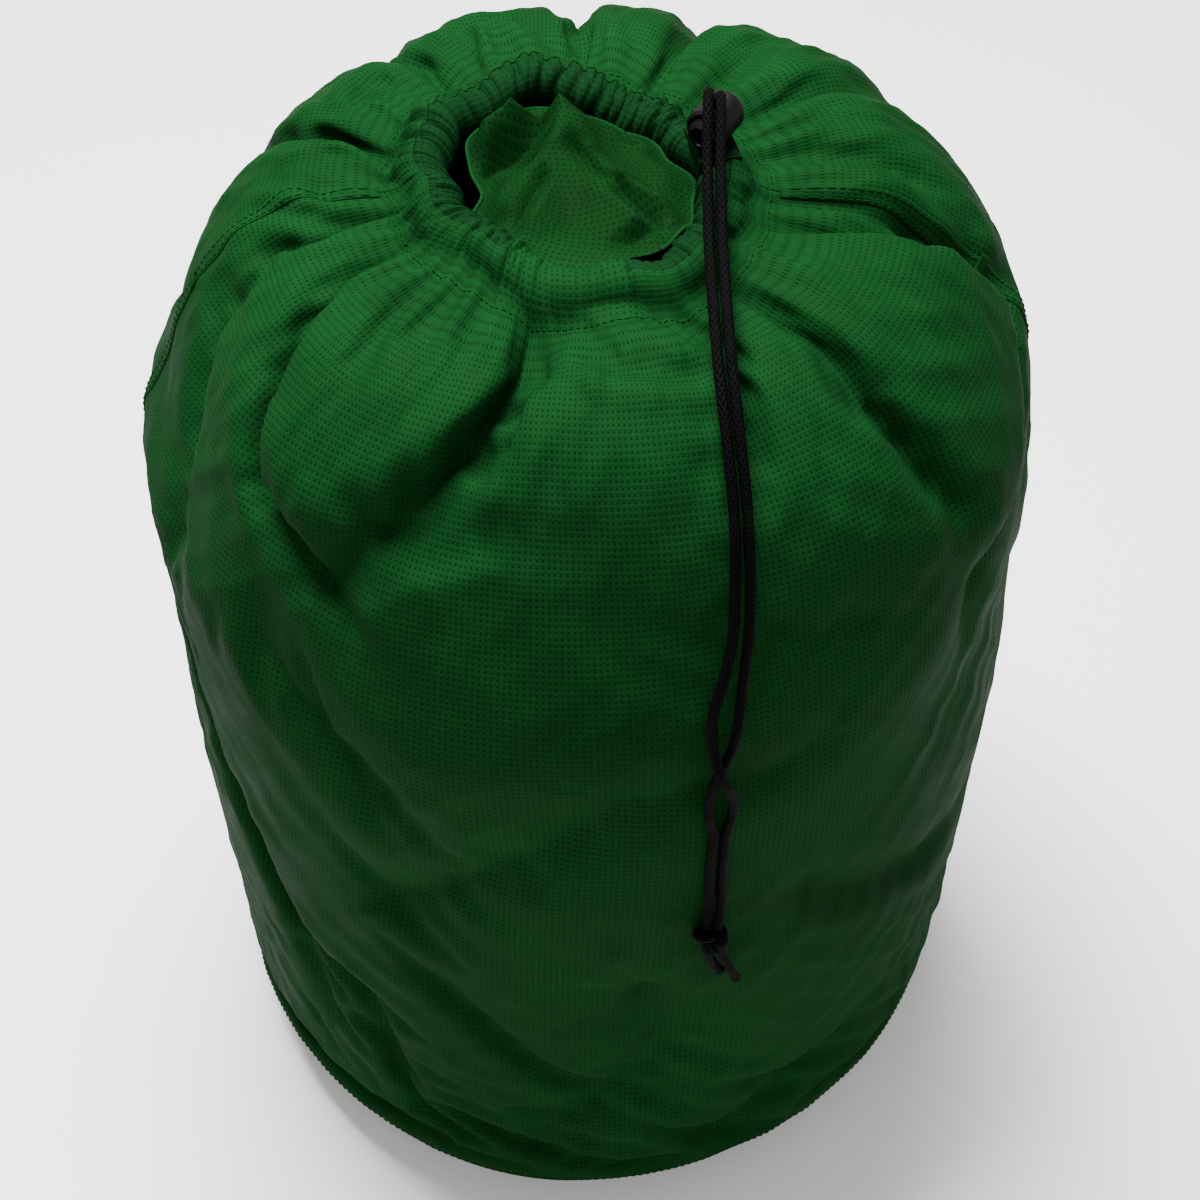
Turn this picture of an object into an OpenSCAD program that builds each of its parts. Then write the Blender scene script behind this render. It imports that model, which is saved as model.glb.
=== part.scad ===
// A drawstring laundry bag, standing filled out with its mouth half drawn in.
// The cloth is a front and a back panel joined by two felled side seams, a round base,
// a gathered casing round the mouth, and a cover flap sewn inside the front of the rim.
// A braided drawcord runs round inside the casing. Both ends leave by one eyelet,
// pass up through a push-button cord lock, and hang down the front to one knot.
// Origin: centre of the base, on the floor. +Z is up, and the front faces -Y.

/* [Body] */
// Widest diameter of the filled bag, at the foot of its shoulder
body_d = 360; // [300:5:440]
// Diameter of the wall where the rounded base edge ends
base_d = 344; // [270:4:430]
// Height of the rim above the floor
bag_h = 480; // [400:5:600]
// Height at which the bag is widest
widest_z = 317; // [240:1:380]
// Radius of the rounded edge round the base
base_edge_r = 50; // [30:1:70]
// Thickness of the cloth, as solids that stand for it
cloth_t = 1.5; // [1:0.1:3]

/* [Mouth] */
// Clear diameter of the mouth as it is drawn in
mouth_d = 92; // [80:1:130]
// Diameter of the gathered casing tube
casing_d = 18; // [16:0.5:26]
// Thickness of the gathered casing cloth
casing_t = 1.2; // [0.8:0.1:2]
// How far the shoulder lies below the rim
shoulder_drop = 2; // [1:0.5:12]

/* [Seams] */
// Width of the felled side seams at the widest part of the bag
side_seam_w = 10; // [6:0.5:16]
// Thickness of a felled seam over the cloth
side_seam_t = 1; // [0.6:0.1:2]
// Width of the bound seam allowance inside the base seam
binding_w = 10; // [6:0.5:16]
// Thickness of the bound seam allowance
binding_t = 3; // [2:0.5:5]
// Diameter of the sewing thread, as a continuous line of stitches
thread_d = 0.9; // [0.6:0.1:1.4]

/* [Drawcord] */
// Diameter of the braided cord
cord_d = 4; // [3:0.5:5]
// Length of the knot
knot_l = 19; // [16:1:26]
// Width of the knot
knot_w = 14; // [12:1:18]

/* [Eyelet and lock] */
// Bore of the eyelet that both cord ends leave by
eyelet_bore_d = 9.4; // [9:0.1:12]
// Outer diameter of the eyelet flange
eyelet_flange_d = 15; // [14:0.5:18]
// Diameter of the cord lock's barrel
lock_d = 16; // [15:0.5:20]
// Length of the cord lock's barrel
lock_l = 18; // [16:0.5:24]
// Diameter of the push button
button_d = 10.6; // [9.6:0.1:12]
// Travel of the push button
button_travel = 3.5; // [2.5:0.1:4]

/* [Cover flap] */
// Radius of the part of the flap that lies in the mouth
flap_r = 37; // [28:1:42]
// Width of the tongue that is sewn over the front of the rim
flap_tongue_w = 44; // [30:1:56]
// Thickness of the flap cloth
flap_t = 1.6; // [1:0.1:2.5]
// Depth of the flap below the rim
flap_drop = 17; // [10:1:24]

/* [Hidden] */

$fn = 96;
cloth_green = [0.07, 0.33, 0.15];
deep_green = [0.04, 0.22, 0.10];
thread_green = [0.05, 0.26, 0.12];
cord_black = [0.03, 0.03, 0.03];

// Clearance between pieces that touch but are not joined, and between sewn faces
gap = 0.3;
join = 0.1;
wall_fn = 144;

// Profile of the wall
edge_c = base_d / 2 - base_edge_r;
seam_a = -21;
edge_n = 4;
flare_n = 6;
flare_pow = 1.6;
shoulder_n = 14;
shoulder_end = 84;
shoulder_pow = 0.77;
shoulder_z = bag_h - shoulder_drop;
neck_n = 3;
base_row_a = seam_a + 4;
seam_clear_a = seam_a + 6;
seam_reach = 0.6;
casing_row_reach = 0.8;

// The casing is a ring round the mouth, and its crest is the rim
casing_r = casing_d / 2;
ring_r = mouth_d / 2 + casing_r;
casing_z = bag_h - casing_r;
neck_z = casing_z + 3.5;
neck_low_z = neck_z - cloth_t - casing_z;
neck_r = ring_r + sqrt(casing_r * casing_r - neck_low_z * neck_low_z) + join;
crest_r = neck_r + 6.5;

// Eyelet and lock stand on the right of the rim
eyelet_az = 14;
eyelet_inset = 3;
eyelet_x = (ring_r - eyelet_inset) * cos(eyelet_az);
eyelet_y = (ring_r - eyelet_inset) * sin(eyelet_az);
patch_w = 16;
patch_l = 22;
patch_z = bag_h + 1;
flange_t = 0.8;
barrel_t = 0.5;
barrel_foot_z = patch_z - 4;
washer_t = 0.8;
washer_z = patch_z - 3 - washer_t;
lock_az = 240;
lock_z = patch_z + flange_t + join + lock_d / 2;
lock_front = 7;
lock_floor = 2;
lock_bore_d = button_d + 0.6;
slot_pitch = 4.4;
slot_d = cord_d + 1;
button_out = 4.5;
spring_wire = 0.5;
spring_turns = 3;
spring_l = 2.4;
spring_r = 2.9;

// Cover flap
flap_x = -2;
hinge_y = -ring_r - 2;
hinge_z = bag_h + 0.7;
flap_z = bag_h - flap_drop;

// Routes of the free cord ends, from the lock to the knot
left_route = [
    [48.6, 13.7, 482.4], [48.6, 13.7, 490], [48.6, 13.7, 497.5], [48.4, 12.7, 501.4],
    [48.1, 9.8, 504.6], [47.8, 5.7, 506], [47.5, 0.5, 505], [47.2, -6, 501.5],
    [47, -14, 496.8], [47, -24, 491.8], [47, -35, 487.4], [47, -47, 484],
    [47.2, -60, 481.8], [47.5, -74, 480.4], [48, -88, 477.8], [48.8, -102, 473.2],
    [50.2, -115, 466.6], [51.8, -127, 457.4], [53.4, -137, 446.6], [54.4, -146, 433.6],
    [54.6, -154.4, 418], [54.2, -161, 402.5], [51.6, -166.8, 388], [48.4, -171.4, 374],
    [48.6, -175, 361], [52, -179.6, 349], [56.4, -177.6, 336], [57.2, -175.2, 324],
    [55.4, -175.6, 312], [54.8, -176, 296], [55, -176.4, 280], [54.8, -178, 266],
    [54, -180, 257]];
right_route = [
    [52.4, 11.5, 482.4], [52.4, 11.5, 490], [52.4, 11.5, 497.5], [52.3, 10.4, 501.4],
    [52.2, 7.6, 504.6], [52.1, 3.5, 506], [52, -1.8, 505], [51.8, -8.4, 501.5],
    [51.6, -16.5, 496.6], [51.6, -26.5, 491.6], [51.6, -37.5, 487.2], [51.6, -49.5, 483.8],
    [51.8, -62, 481.7], [52.1, -75.5, 480.2], [52.6, -89, 477.4], [53.4, -102.5, 472.6],
    [54.8, -115, 465.8], [56.4, -127, 456], [58, -137, 445], [59.2, -146, 431.6],
    [60, -154, 416.4], [59.8, -160, 401.5], [58.6, -165.4, 388], [57.6, -170, 374],
    [56.2, -173.4, 361], [52, -175.2, 349], [48.8, -177, 336], [48.6, -177.6, 324],
    [50.8, -177, 312], [50.4, -177, 296], [50.4, -177.4, 280], [50.3, -178.6, 266],
    [50, -180, 257]];
knot_top = [52.4, -180.2, 254.5];
knot_foot = [51.6, -180.6, 247];
left_tip_route = [[50.6, -180.4, 245], [51.6, -180, 238], [54, -179, 230], [57.4, -178, 223]];
right_tip_route = [[54.6, -180.4, 245], [57, -180, 237], [60, -179.2, 228], [63.6, -178, 217]];

// Ends of the cord loop, where it climbs out of the casing to the lock
loop_r = ring_r - casing_r + casing_t + cord_d / 2 + 0.5;
loop_z = casing_z - 1;
loop_from = 30;
loop_to = 358;
loop_step = 8;
loop_start = [[48.6, 13.7, 481.7], [48.6, 13.9, 477], [48.2, 15.6, 472.4], [46.4, 19.4, 469.6]];
loop_end = [[50.6, 3.2, 469.6], [52, 7.6, 472.4], [52.4, 10.8, 476.6], [52.4, 11.5, 481.7]];

// Points of the wall's profile, at a depth inside its outer face, from an angle on the base
// edge to a share of the neck
function wall_outline(depth, from_a = seam_a, reach = 1) =
    concat(edge_outline(depth, from_a), flare_outline(depth), shoulder_outline(depth),
           neck_outline(depth, reach));
function edge_outline(depth, from_a) =
    [for (i = [0:edge_n]) let (a = from_a * (1 - i / edge_n))
        [edge_c + (base_edge_r - depth) * cos(a), base_edge_r + (base_edge_r - depth) * sin(a)]];
function flare_outline(depth) =
    [for (i = [1:flare_n]) let (u = i / flare_n)
        [base_d / 2 - depth + (body_d - base_d) / 2 * (1 - pow(1 - u, flare_pow)),
         base_edge_r + (widest_z - base_edge_r) * u]];
function shoulder_pt(depth, a) =
    [crest_r + (body_d / 2 - depth - crest_r) * pow(cos(a), shoulder_pow),
     widest_z + (shoulder_z - depth - widest_z) * sin(a)];
function shoulder_outline(depth) =
    [for (i = [1:shoulder_n]) shoulder_pt(depth, shoulder_end * i / shoulder_n)];
function neck_outline(depth, reach) =
    let (from = shoulder_pt(depth, shoulder_end))
    [for (i = [1:neck_n]) let (u = reach * i / neck_n)
        [from.x + (neck_r - from.x) * u, from.y + (neck_z - depth - from.y) * u * u]];
function reversed(list) = [for (i = [len(list) - 1:-1:0]) list[i]];
function band(depth_a, depth_b, from_a = seam_a, reach = 1) =
    concat(wall_outline(depth_a, from_a, reach), reversed(wall_outline(depth_b, from_a, reach)));

// A tube of radius r swept along the points of a route, closed at both ends
function unit(v) = v / norm(v);
function heading(p, i) = unit(p[min(i + 1, len(p) - 1)] - p[max(i - 1, 0)]);
function squared(u, t) = unit(u - (u * t) * t);
function sides(p, first) =
    [for (i = 0, u = squared(first, heading(p, 0)); i < len(p);
          i = i + 1, u = squared(u, heading(p, min(i, len(p) - 1)))) u];

module tube(p, r, n = 8, first = [1, 0, 0]) {
    us = sides(p, first);
    rings = len(p);
    points = [for (i = [0:rings - 1]) let (u = us[i], v = cross(heading(p, i), u))
                 for (j = [0:n - 1]) p[i] + r * (cos(360 * j / n) * u + sin(360 * j / n) * v)];
    walls = [for (i = [0:rings - 2]) for (j = [0:n - 1])
                let (a = i * n + j, b = i * n + (j + 1) % n) each [[a, a + n, b], [b, a + n, b + n]]];
    polyhedron(points, concat(walls, [[for (j = [0:n - 1]) j]],
                              [[for (j = [n - 1:-1:0]) (rings - 1) * n + j]]), convexity = 10);
}

module ring_tube(r, tube_r, z) {
    rotate_extrude($fn = wall_fn) translate([r, z]) circle(tube_r, $fn = 32);
}

module at_eyelet(z) {
    translate([eyelet_x, eyelet_y, z]) children();
}

// In the lock's own frame +X is the way the button points, and the cords run along Z
module at_lock() {
    translate([eyelet_x, eyelet_y, lock_z]) rotate([0, 0, lock_az]) children();
}

// Room for the two cords side by side, long enough for the button to move past them
module cord_slot(travel, height) {
    for (side = [-1, 1]) translate([0, side * slot_pitch / 2, -height / 2]) {
        cylinder(d = slot_d, h = height, $fn = 32);
        translate([travel, 0, 0]) cylinder(d = slot_d, h = height, $fn = 32);
    }
    translate([-slot_d / 2, -slot_pitch / 2, -height / 2]) cube([travel + slot_d, slot_pitch, height]);
    translate([0, -(slot_pitch + slot_d) / 2, -height / 2]) cube([travel, slot_pitch + slot_d, height]);
}

module front_panel() {
    color(cloth_green) rotate([0, 0, 180])
        rotate_extrude(angle = 180, $fn = wall_fn) polygon(band(0, cloth_t));
}

module back_panel() {
    color(cloth_green) rotate_extrude(angle = 180, $fn = wall_fn) polygon(band(0, cloth_t));
}

module base_panel() {
    outer = [for (i = [0:10]) let (a = -90 + (seam_a + 90) * i / 10)
                [edge_c + base_edge_r * cos(a), base_edge_r + base_edge_r * sin(a)]];
    inner = [for (i = [10:-1:0]) let (a = -90 + (seam_a + 90) * i / 10, r = base_edge_r - cloth_t)
                [edge_c + r * cos(a), base_edge_r + r * sin(a)]];
    color(deep_green) rotate_extrude($fn = wall_fn)
        polygon(concat([[0, 0]], outer, inner, [[0, cloth_t]]));
}

// A felled side seam: a raised strip that narrows towards the mouth, as the cloth gathers
module side_seam(az) {
    turn = side_seam_w / (PI * body_d) * 360;
    color(cloth_green) rotate([0, 0, az - turn / 2])
        rotate_extrude(angle = turn, $fn = wall_fn * 4)
            polygon(band(-side_seam_t, -join / 2, seam_clear_a, seam_reach));
}

// Two rows of stitches along each felled seam
module side_stitching() {
    turn = side_seam_w / (PI * body_d) * 360;
    row = thread_d / (PI * body_d) * 360;
    color(thread_green) for (az = [0, 180]) for (side = [-1, 1])
        rotate([0, 0, az + side * turn * 0.34 - row / 2])
            rotate_extrude(angle = row, $fn = wall_fn * 8)
                polygon(band(-side_seam_t - thread_d / 2, -side_seam_t, seam_clear_a, seam_reach));
}

// The seam allowances of the wall and the base, bound with tape, stand inwards
module base_binding() {
    inner_r = base_edge_r - cloth_t - join;
    mid_z = base_edge_r + inner_r * sin(seam_a);
    seam_r = edge_c + inner_r * cos(seam_a);
    color(deep_green) rotate_extrude($fn = wall_fn) intersection() {
        translate([seam_r - binding_w, mid_z - binding_t / 2]) square([binding_w * 2, binding_t]);
        translate([edge_c, base_edge_r]) circle(inner_r, $fn = 240);
    }
}

module base_stitching() {
    row_r = base_edge_r + thread_d / 2 + join / 2;
    color(thread_green) ring_tube(edge_c + row_r * cos(base_row_a), thread_d / 2,
                                  base_edge_r + row_r * sin(base_row_a));
}

module casing() {
    color(cloth_green) difference() {
        ring_tube(ring_r, casing_r, casing_z);
        ring_tube(ring_r, casing_r - casing_t, casing_z);
        at_eyelet(casing_z + 4) cylinder(d = eyelet_flange_d, h = casing_r);
    }
}

// The row of stitches that closes the casing lies on the neck, just outside the casing
module casing_stitching() {
    from = shoulder_pt(0, shoulder_end);
    row_r = from.x + (neck_r - from.x) * casing_row_reach;
    row_z = from.y + (neck_z - from.y) * pow(casing_row_reach, 2);
    color(thread_green) ring_tube(row_r, thread_d / 2, row_z + thread_d / 2 + gap / 2);
}

// A short bar of close stitches across each side seam, high on the shoulder
module seam_bartacks() {
    tack_w = 4;
    tack_l = 12;
    tack_t = 2.2;
    tack_a = 52;
    on = shoulder_pt(-side_seam_t - thread_d / 2 - gap, tack_a);
    run = (body_d / 2 - crest_r) * shoulder_pow * pow(cos(tack_a), shoulder_pow - 1) * sin(tack_a);
    lift = atan2(run, (shoulder_z - widest_z) * cos(tack_a));
    color(thread_green) for (az = [0, 180]) rotate([0, 0, az])
        translate([on.x, 0, on.y]) rotate([0, -lift, 0])
            translate([0, -tack_l / 2, -tack_w / 2]) cube([tack_t, tack_l, tack_w]);
}

// A double layer of cloth that makes a flat seat for the eyelet on the gathered casing
module eyelet_patch() {
    color(deep_green) difference() {
        at_eyelet(patch_z - 4.5) rotate([0, 0, eyelet_az])
            translate([-patch_w / 2, -patch_l / 2, 0]) cube([patch_w, patch_l, 4.5]);
        ring_tube(ring_r, casing_r + join, casing_z);
        at_eyelet(0) cylinder(d = eyelet_bore_d + 2 * barrel_t + join, h = bag_h * 2);
        at_eyelet(0) cylinder(d = eyelet_flange_d, h = washer_z + washer_t + join);
    }
}

module eyelet() {
    color("black") difference() {
        union() {
            at_eyelet(patch_z) cylinder(d = eyelet_flange_d, h = flange_t);
            at_eyelet(barrel_foot_z) cylinder(d = eyelet_bore_d + 2 * barrel_t, h = patch_z - barrel_foot_z);
        }
        at_eyelet(0) cylinder(d = eyelet_bore_d, h = bag_h * 2);
    }
}

module eyelet_washer() {
    color("black") difference() {
        at_eyelet(washer_z) cylinder(d = eyelet_flange_d - 0.8, h = washer_t);
        at_eyelet(0) cylinder(d = eyelet_bore_d + 2 * barrel_t + join, h = bag_h * 2);
    }
}

// The stretch of cord that the casing holds, and its two ends up to the lock
module drawcord_loop() {
    round_points = [for (a = [loop_from:loop_step:loop_to]) [loop_r * cos(a), loop_r * sin(a), loop_z]];
    color(cord_black) tube(concat(loop_start, round_points, loop_end), cord_d / 2);
}

module lock_body() {
    back = lock_front - lock_l;
    dome = 3;
    color([0.05, 0.05, 0.05]) at_lock() difference() {
        rotate([0, 90, 0]) rotate_extrude($fn = 64) polygon(concat(
            [[0, back]],
            [for (i = [1:4]) let (a = 90 * i / 4)
                [lock_d / 2 - dome + dome * sin(a), back + dome - dome * cos(a)]],
            [[lock_d / 2, lock_front - 1], [lock_d / 2 - 1, lock_front], [0, lock_front]]));
        translate([back + lock_floor, 0, 0]) rotate([0, 90, 0]) cylinder(d = lock_bore_d, h = lock_l);
        cord_slot(0.1, lock_d + 2);
    }
}

// The return spring, drawn at its pressed length on the floor of the barrel
module lock_spring() {
    from = lock_front - lock_l + lock_floor + spring_wire / 2 + join;
    coil_r = spring_r - spring_wire / 2;
    steps = 12;
    rise = (spring_l - spring_wire) / (spring_turns * steps);
    color("silver") at_lock()
        tube([for (i = [0:spring_turns * steps]) let (a = 360 * i / steps)
                 [from + rise * i, coil_r * cos(a), coil_r * sin(a)]], spring_wire / 2, 6, [0, 1, 0]);
}

// The push button: a plunger with a slot for the cords and a seat for the spring
module lock_button() {
    floor_x = lock_front - lock_l + lock_floor;
    rear = floor_x + button_travel + 0.5;
    front = lock_front + button_out;
    color([0.08, 0.07, 0.07]) at_lock() difference() {
        rotate([0, 90, 0]) rotate_extrude($fn = 64) polygon([
            [0, rear], [button_d / 2, rear], [button_d / 2, front - 1.2], [button_d / 2 - 1.2, front],
            [button_d / 2 - 1.8, front], [button_d / 2 - 2.2, front - 0.6], [0, front - 0.6]]);
        translate([rear - 1, 0, 0]) rotate([0, 90, 0]) cylinder(r = spring_r + 0.4, h = 1 + spring_l);
        cord_slot(button_travel, lock_d);
    }
}

module drawcord_left() {
    color(cord_black) tube(left_route, cord_d / 2);
}

module drawcord_right() {
    color(cord_black) tube(right_route, cord_d / 2);
}

module drawcord_knot() {
    color(cord_black) hull() {
        translate(knot_top) sphere(d = knot_w - 2, $fn = 24);
        translate(knot_foot) sphere(d = knot_w, $fn = 24);
        translate(knot_foot + [0, 0, -knot_l / 2 + 4]) sphere(d = knot_w / 2, $fn = 24);
    }
}

module cord_tips() {
    color(cord_black) {
        tube(left_tip_route, cord_d / 2);
        tube(right_tip_route, cord_d / 2);
    }
}

// Side view of the flap: flat over the rim, down into the mouth, then level
module flap_side() {
    brow_y = hinge_y + 16;
    foot_y = hinge_y + 28;
    polygon([[hinge_y, hinge_z], [brow_y, hinge_z], [foot_y, flap_z], [ring_r, flap_z],
             [ring_r, flap_z + flap_t], [foot_y + 1, flap_z + flap_t],
             [brow_y + 1, hinge_z + flap_t], [hinge_y, hinge_z + flap_t]]);
}

module flap_plan(r) {
    circle(r, $fn = 96);
    translate([-flap_tongue_w / 2, hinge_y]) square([flap_tongue_w, -hinge_y - r / 2]);
}

module cover_flap() {
    color(cloth_green) translate([flap_x, 0, 0]) intersection() {
        rotate([90, 0, 90]) translate([0, 0, -ring_r]) linear_extrude(2 * ring_r) flap_side();
        linear_extrude(bag_h * 2) flap_plan(flap_r);
    }
}

// The rolled hem round the free edge of the flap
module flap_hem() {
    hem_r = 1.6;
    turn = 230;
    color(deep_green) translate([flap_x, 0, 0]) rotate([0, 0, 90 - turn / 2])
        rotate_extrude(angle = turn, $fn = 96)
            translate([flap_r + join, flap_z + flap_t / 2]) intersection() {
                circle(hem_r, $fn = 32);
                translate([0, -hem_r]) square(2 * hem_r);
            }
}

module flap_stitching() {
    inset = 3;
    color(thread_green)
        translate([flap_x - flap_tongue_w / 2 + 2, hinge_y + inset, hinge_z + flap_t + thread_d / 2])
            rotate([0, 90, 0]) cylinder(d = thread_d, h = flap_tongue_w - 4, $fn = 24);
}

front_panel();
back_panel();
base_panel();
side_seam(180);  // side_seam_left
side_seam(0);  // side_seam_right
side_stitching();
base_binding();
base_stitching();
casing();
casing_stitching();
seam_bartacks();
eyelet_patch();
eyelet();
eyelet_washer();
drawcord_loop();
lock_body();
lock_spring();
lock_button();
drawcord_left();
drawcord_right();
drawcord_knot();
cord_tips();
cover_flap();
flap_hem();
flap_stitching();
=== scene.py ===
# %% [markdown]
# # A drawstring laundry bag
# The bag is a cut cylinder of light nylon cloth that is drawn in at its mouth by a cord.
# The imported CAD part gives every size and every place. Around that frame this script makes
# the cloth, the cord and the finishes that a viewer sees.

# %% Load the frame
import math

import bpy
import numpy as np
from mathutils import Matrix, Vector


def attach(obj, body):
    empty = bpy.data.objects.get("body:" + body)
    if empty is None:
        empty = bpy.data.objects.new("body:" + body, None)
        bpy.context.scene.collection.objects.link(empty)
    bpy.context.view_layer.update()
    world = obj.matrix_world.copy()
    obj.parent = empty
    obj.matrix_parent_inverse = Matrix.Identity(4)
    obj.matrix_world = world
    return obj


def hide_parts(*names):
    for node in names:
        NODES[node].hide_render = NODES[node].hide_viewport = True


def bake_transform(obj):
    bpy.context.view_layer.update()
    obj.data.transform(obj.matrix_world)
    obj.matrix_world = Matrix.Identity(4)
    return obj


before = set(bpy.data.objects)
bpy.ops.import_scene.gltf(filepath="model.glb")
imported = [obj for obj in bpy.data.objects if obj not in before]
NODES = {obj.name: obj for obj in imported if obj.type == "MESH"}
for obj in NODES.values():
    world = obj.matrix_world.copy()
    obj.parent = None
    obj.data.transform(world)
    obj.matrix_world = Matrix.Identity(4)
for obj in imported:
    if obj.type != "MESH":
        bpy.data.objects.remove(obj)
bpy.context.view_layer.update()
MM = 0.001
scene = bpy.context.scene

# %% [markdown]
# ## The camera
# The bag stands on the floor and is seen from the front, from well above its rim, so that
# the eye looks down into the mouth. A fairly long lens from about 1.2 m keeps the base
# narrower than the shoulder without bending the sides.

# %% Camera
PITCH = math.radians(47.707)
camera_data = bpy.data.cameras.new("camera")
camera_data.lens = 67.11
camera_data.sensor_width = 36
camera = bpy.data.objects.new("camera", camera_data)
camera.location = (0.00912, -0.66317, 0.97436)
camera.rotation_euler = (math.pi / 2 - PITCH, 0, 0)
scene.collection.objects.link(camera)
scene.camera = camera
print("camera looks down at", round(math.degrees(PITCH), 1), "degrees")

# %% [markdown]
# ## Surfaces from grids
# Almost every piece here is a surface with two parameters: round and up for the wall,
# along and round for a cord. One helper turns such a grid of points into a mesh, so each
# piece only has to say where its points are.

# %% Grid meshes
def grid_faces(nu, nv, wrap_u, wrap_v):
    """Corner numbers of the quads between neighbouring rows and columns of a grid."""
    i, j = np.meshgrid(np.arange(nu if wrap_u else nu - 1),
                       np.arange(nv if wrap_v else nv - 1), indexing="ij")
    i, j = i.ravel(), j.ravel()
    i1, j1 = (i + 1) % nu, (j + 1) % nv
    return np.stack([i * nv + j, i1 * nv + j, i1 * nv + j1, i * nv + j1], 1), i, j


def new_object(name, points, faces):
    """An object in the scene, with a smooth mesh of these points and faces."""
    mesh = bpy.data.meshes.new(name)
    mesh.from_pydata(points, [], faces)
    mesh.polygons.foreach_set("use_smooth", np.ones(len(faces), bool))
    mesh.update()
    obj = bpy.data.objects.new(name, mesh)
    scene.collection.objects.link(obj)
    return obj


def grid_mesh(name, points, uv, wrap_u=False, wrap_v=False, caps=False, plug=False):
    """A mesh of the points[u, v]. uv gives a texture place in metres for each grid line,
    one more line than there are points where the grid wraps round. The faces' outer side
    is where u, v and the outward way are right-handed. caps closes both ends of a tube
    that wraps in v, and plug closes the first ring of a dish that wraps in u."""
    nu, nv = points.shape[:2]
    quads, i, j = grid_faces(nu, nv, wrap_u, wrap_v)
    faces = quads.tolist()
    loops = np.stack([uv[i, j], uv[i + 1, j], uv[i + 1, j + 1], uv[i, j + 1]], 1).reshape(-1, 2)
    if caps:
        rows = [np.arange(nv), (nu - 1) * nv + np.arange(nv)]
        faces += [rows[0].tolist(), rows[1][::-1].tolist()]
        loops = np.concatenate([loops, uv[0, :nv], uv[-1, :nv][::-1]])
    if plug:
        faces.append((np.arange(nu) * nv)[::-1].tolist())
        loops = np.concatenate([loops, uv[:nu, 0][::-1]])
    obj = new_object(name, points.reshape(-1, 3).tolist(), faces)
    layer = obj.data.uv_layers.new(name="cut")
    layer.data.foreach_set("uv", loops.astype(np.float32).ravel())
    return obj


def uv_grid(u, v):
    """Texture places where the rows have the values u and the columns the values v."""
    return np.stack(np.meshgrid(u, v, indexing="ij"), -1)


def unit(v):
    """Directions of length one."""
    return v / np.maximum(np.linalg.norm(v, axis=-1, keepdims=True), 1e-12)


def round_angles(count):
    """Angles in even steps once round a circle."""
    return 2 * np.pi * np.arange(count) / count


def distances(path):
    """How far along a path each of its points lies."""
    return np.append(0, np.cumsum(np.linalg.norm(np.diff(path, axis=0), axis=1)))


def tube(path, turn, size, first, second):
    """Points round a path: at each of its points a ring of the given size, which lies in
    the plane of two crosswise directions."""
    cos, sin = np.cos(turn)[:, None], np.sin(turn)[:, None]
    return path[:, None] + size * (cos * first[:, None] + sin * second[:, None])


# %% [markdown]
# ## The cord
# A soft braided cord, 4 mm thick. Both of its ends come up through the lock, arch over it,
# and hang down the front, side by side and crossing, to one knot. The route is a smooth
# curve through the same points that the part's solids follow.

# %% Routes of the two cord ends, in millimetres
LEFT_ROUTE = [
    (48.6, 13.7, 482.4), (48.6, 13.7, 490), (48.6, 13.7, 497.5), (48.4, 12.7, 501.4),
    (48.1, 9.8, 504.6), (47.8, 5.7, 506), (47.5, 0.5, 505), (47.2, -6, 501.5),
    (47, -14, 496.8), (47, -24, 491.8), (47, -35, 487.4), (47, -47, 484),
    (47.2, -60, 481.8), (47.5, -74, 480.4), (48, -88, 477.8), (48.8, -102, 473.2),
    (50.2, -115, 466.6), (51.8, -127, 457.4), (53.4, -137, 446.6), (54.4, -146, 433.6),
    (54.6, -154.4, 418), (54.2, -161, 402.5), (51.6, -166.8, 388), (48.4, -171.4, 374),
    (48.6, -175, 361), (52, -179.6, 349), (56.4, -177.6, 336), (57.2, -175.2, 324),
    (55.4, -175.6, 312), (54.8, -176, 296), (55, -176.4, 280), (54.8, -178, 266),
    (54, -180, 257)]
RIGHT_ROUTE = [
    (52.4, 11.5, 482.4), (52.4, 11.5, 490), (52.4, 11.5, 497.5), (52.3, 10.4, 501.4),
    (52.2, 7.6, 504.6), (52.1, 3.5, 506), (52, -1.8, 505), (51.8, -8.4, 501.5),
    (51.6, -16.5, 496.6), (51.6, -26.5, 491.6), (51.6, -37.5, 487.2), (51.6, -49.5, 483.8),
    (51.8, -62, 481.7), (52.1, -75.5, 480.2), (52.6, -89, 477.4), (53.4, -102.5, 472.6),
    (54.8, -115, 465.8), (56.4, -127, 456), (58, -137, 445), (59.2, -146, 431.6),
    (60, -154, 416.4), (59.8, -160, 401.5), (58.6, -165.4, 388), (57.6, -170, 374),
    (56.2, -173.4, 361), (52, -175.2, 349), (48.8, -177, 336), (48.6, -177.6, 324),
    (50.8, -177, 312), (50.4, -177, 296), (50.4, -177.4, 280), (50.3, -178.6, 266),
    (50, -180, 257)]
KNOT_CENTRE = np.array([52, -180.4, 250.4])
LEFT_TIP = [(50.6, -180.4, 245), (51.6, -180, 238), (54, -179, 230), (57.4, -178, 223)]
RIGHT_TIP = [(54.6, -180.4, 245), (57, -180, 237), (60, -179.2, 228), (63.6, -178, 217)]
CORD_R = 2.0 * MM
BRAID_PITCH, BRAID_SWELL = 3.2 * MM, 0.05
CORD_SIDES = 24


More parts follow.
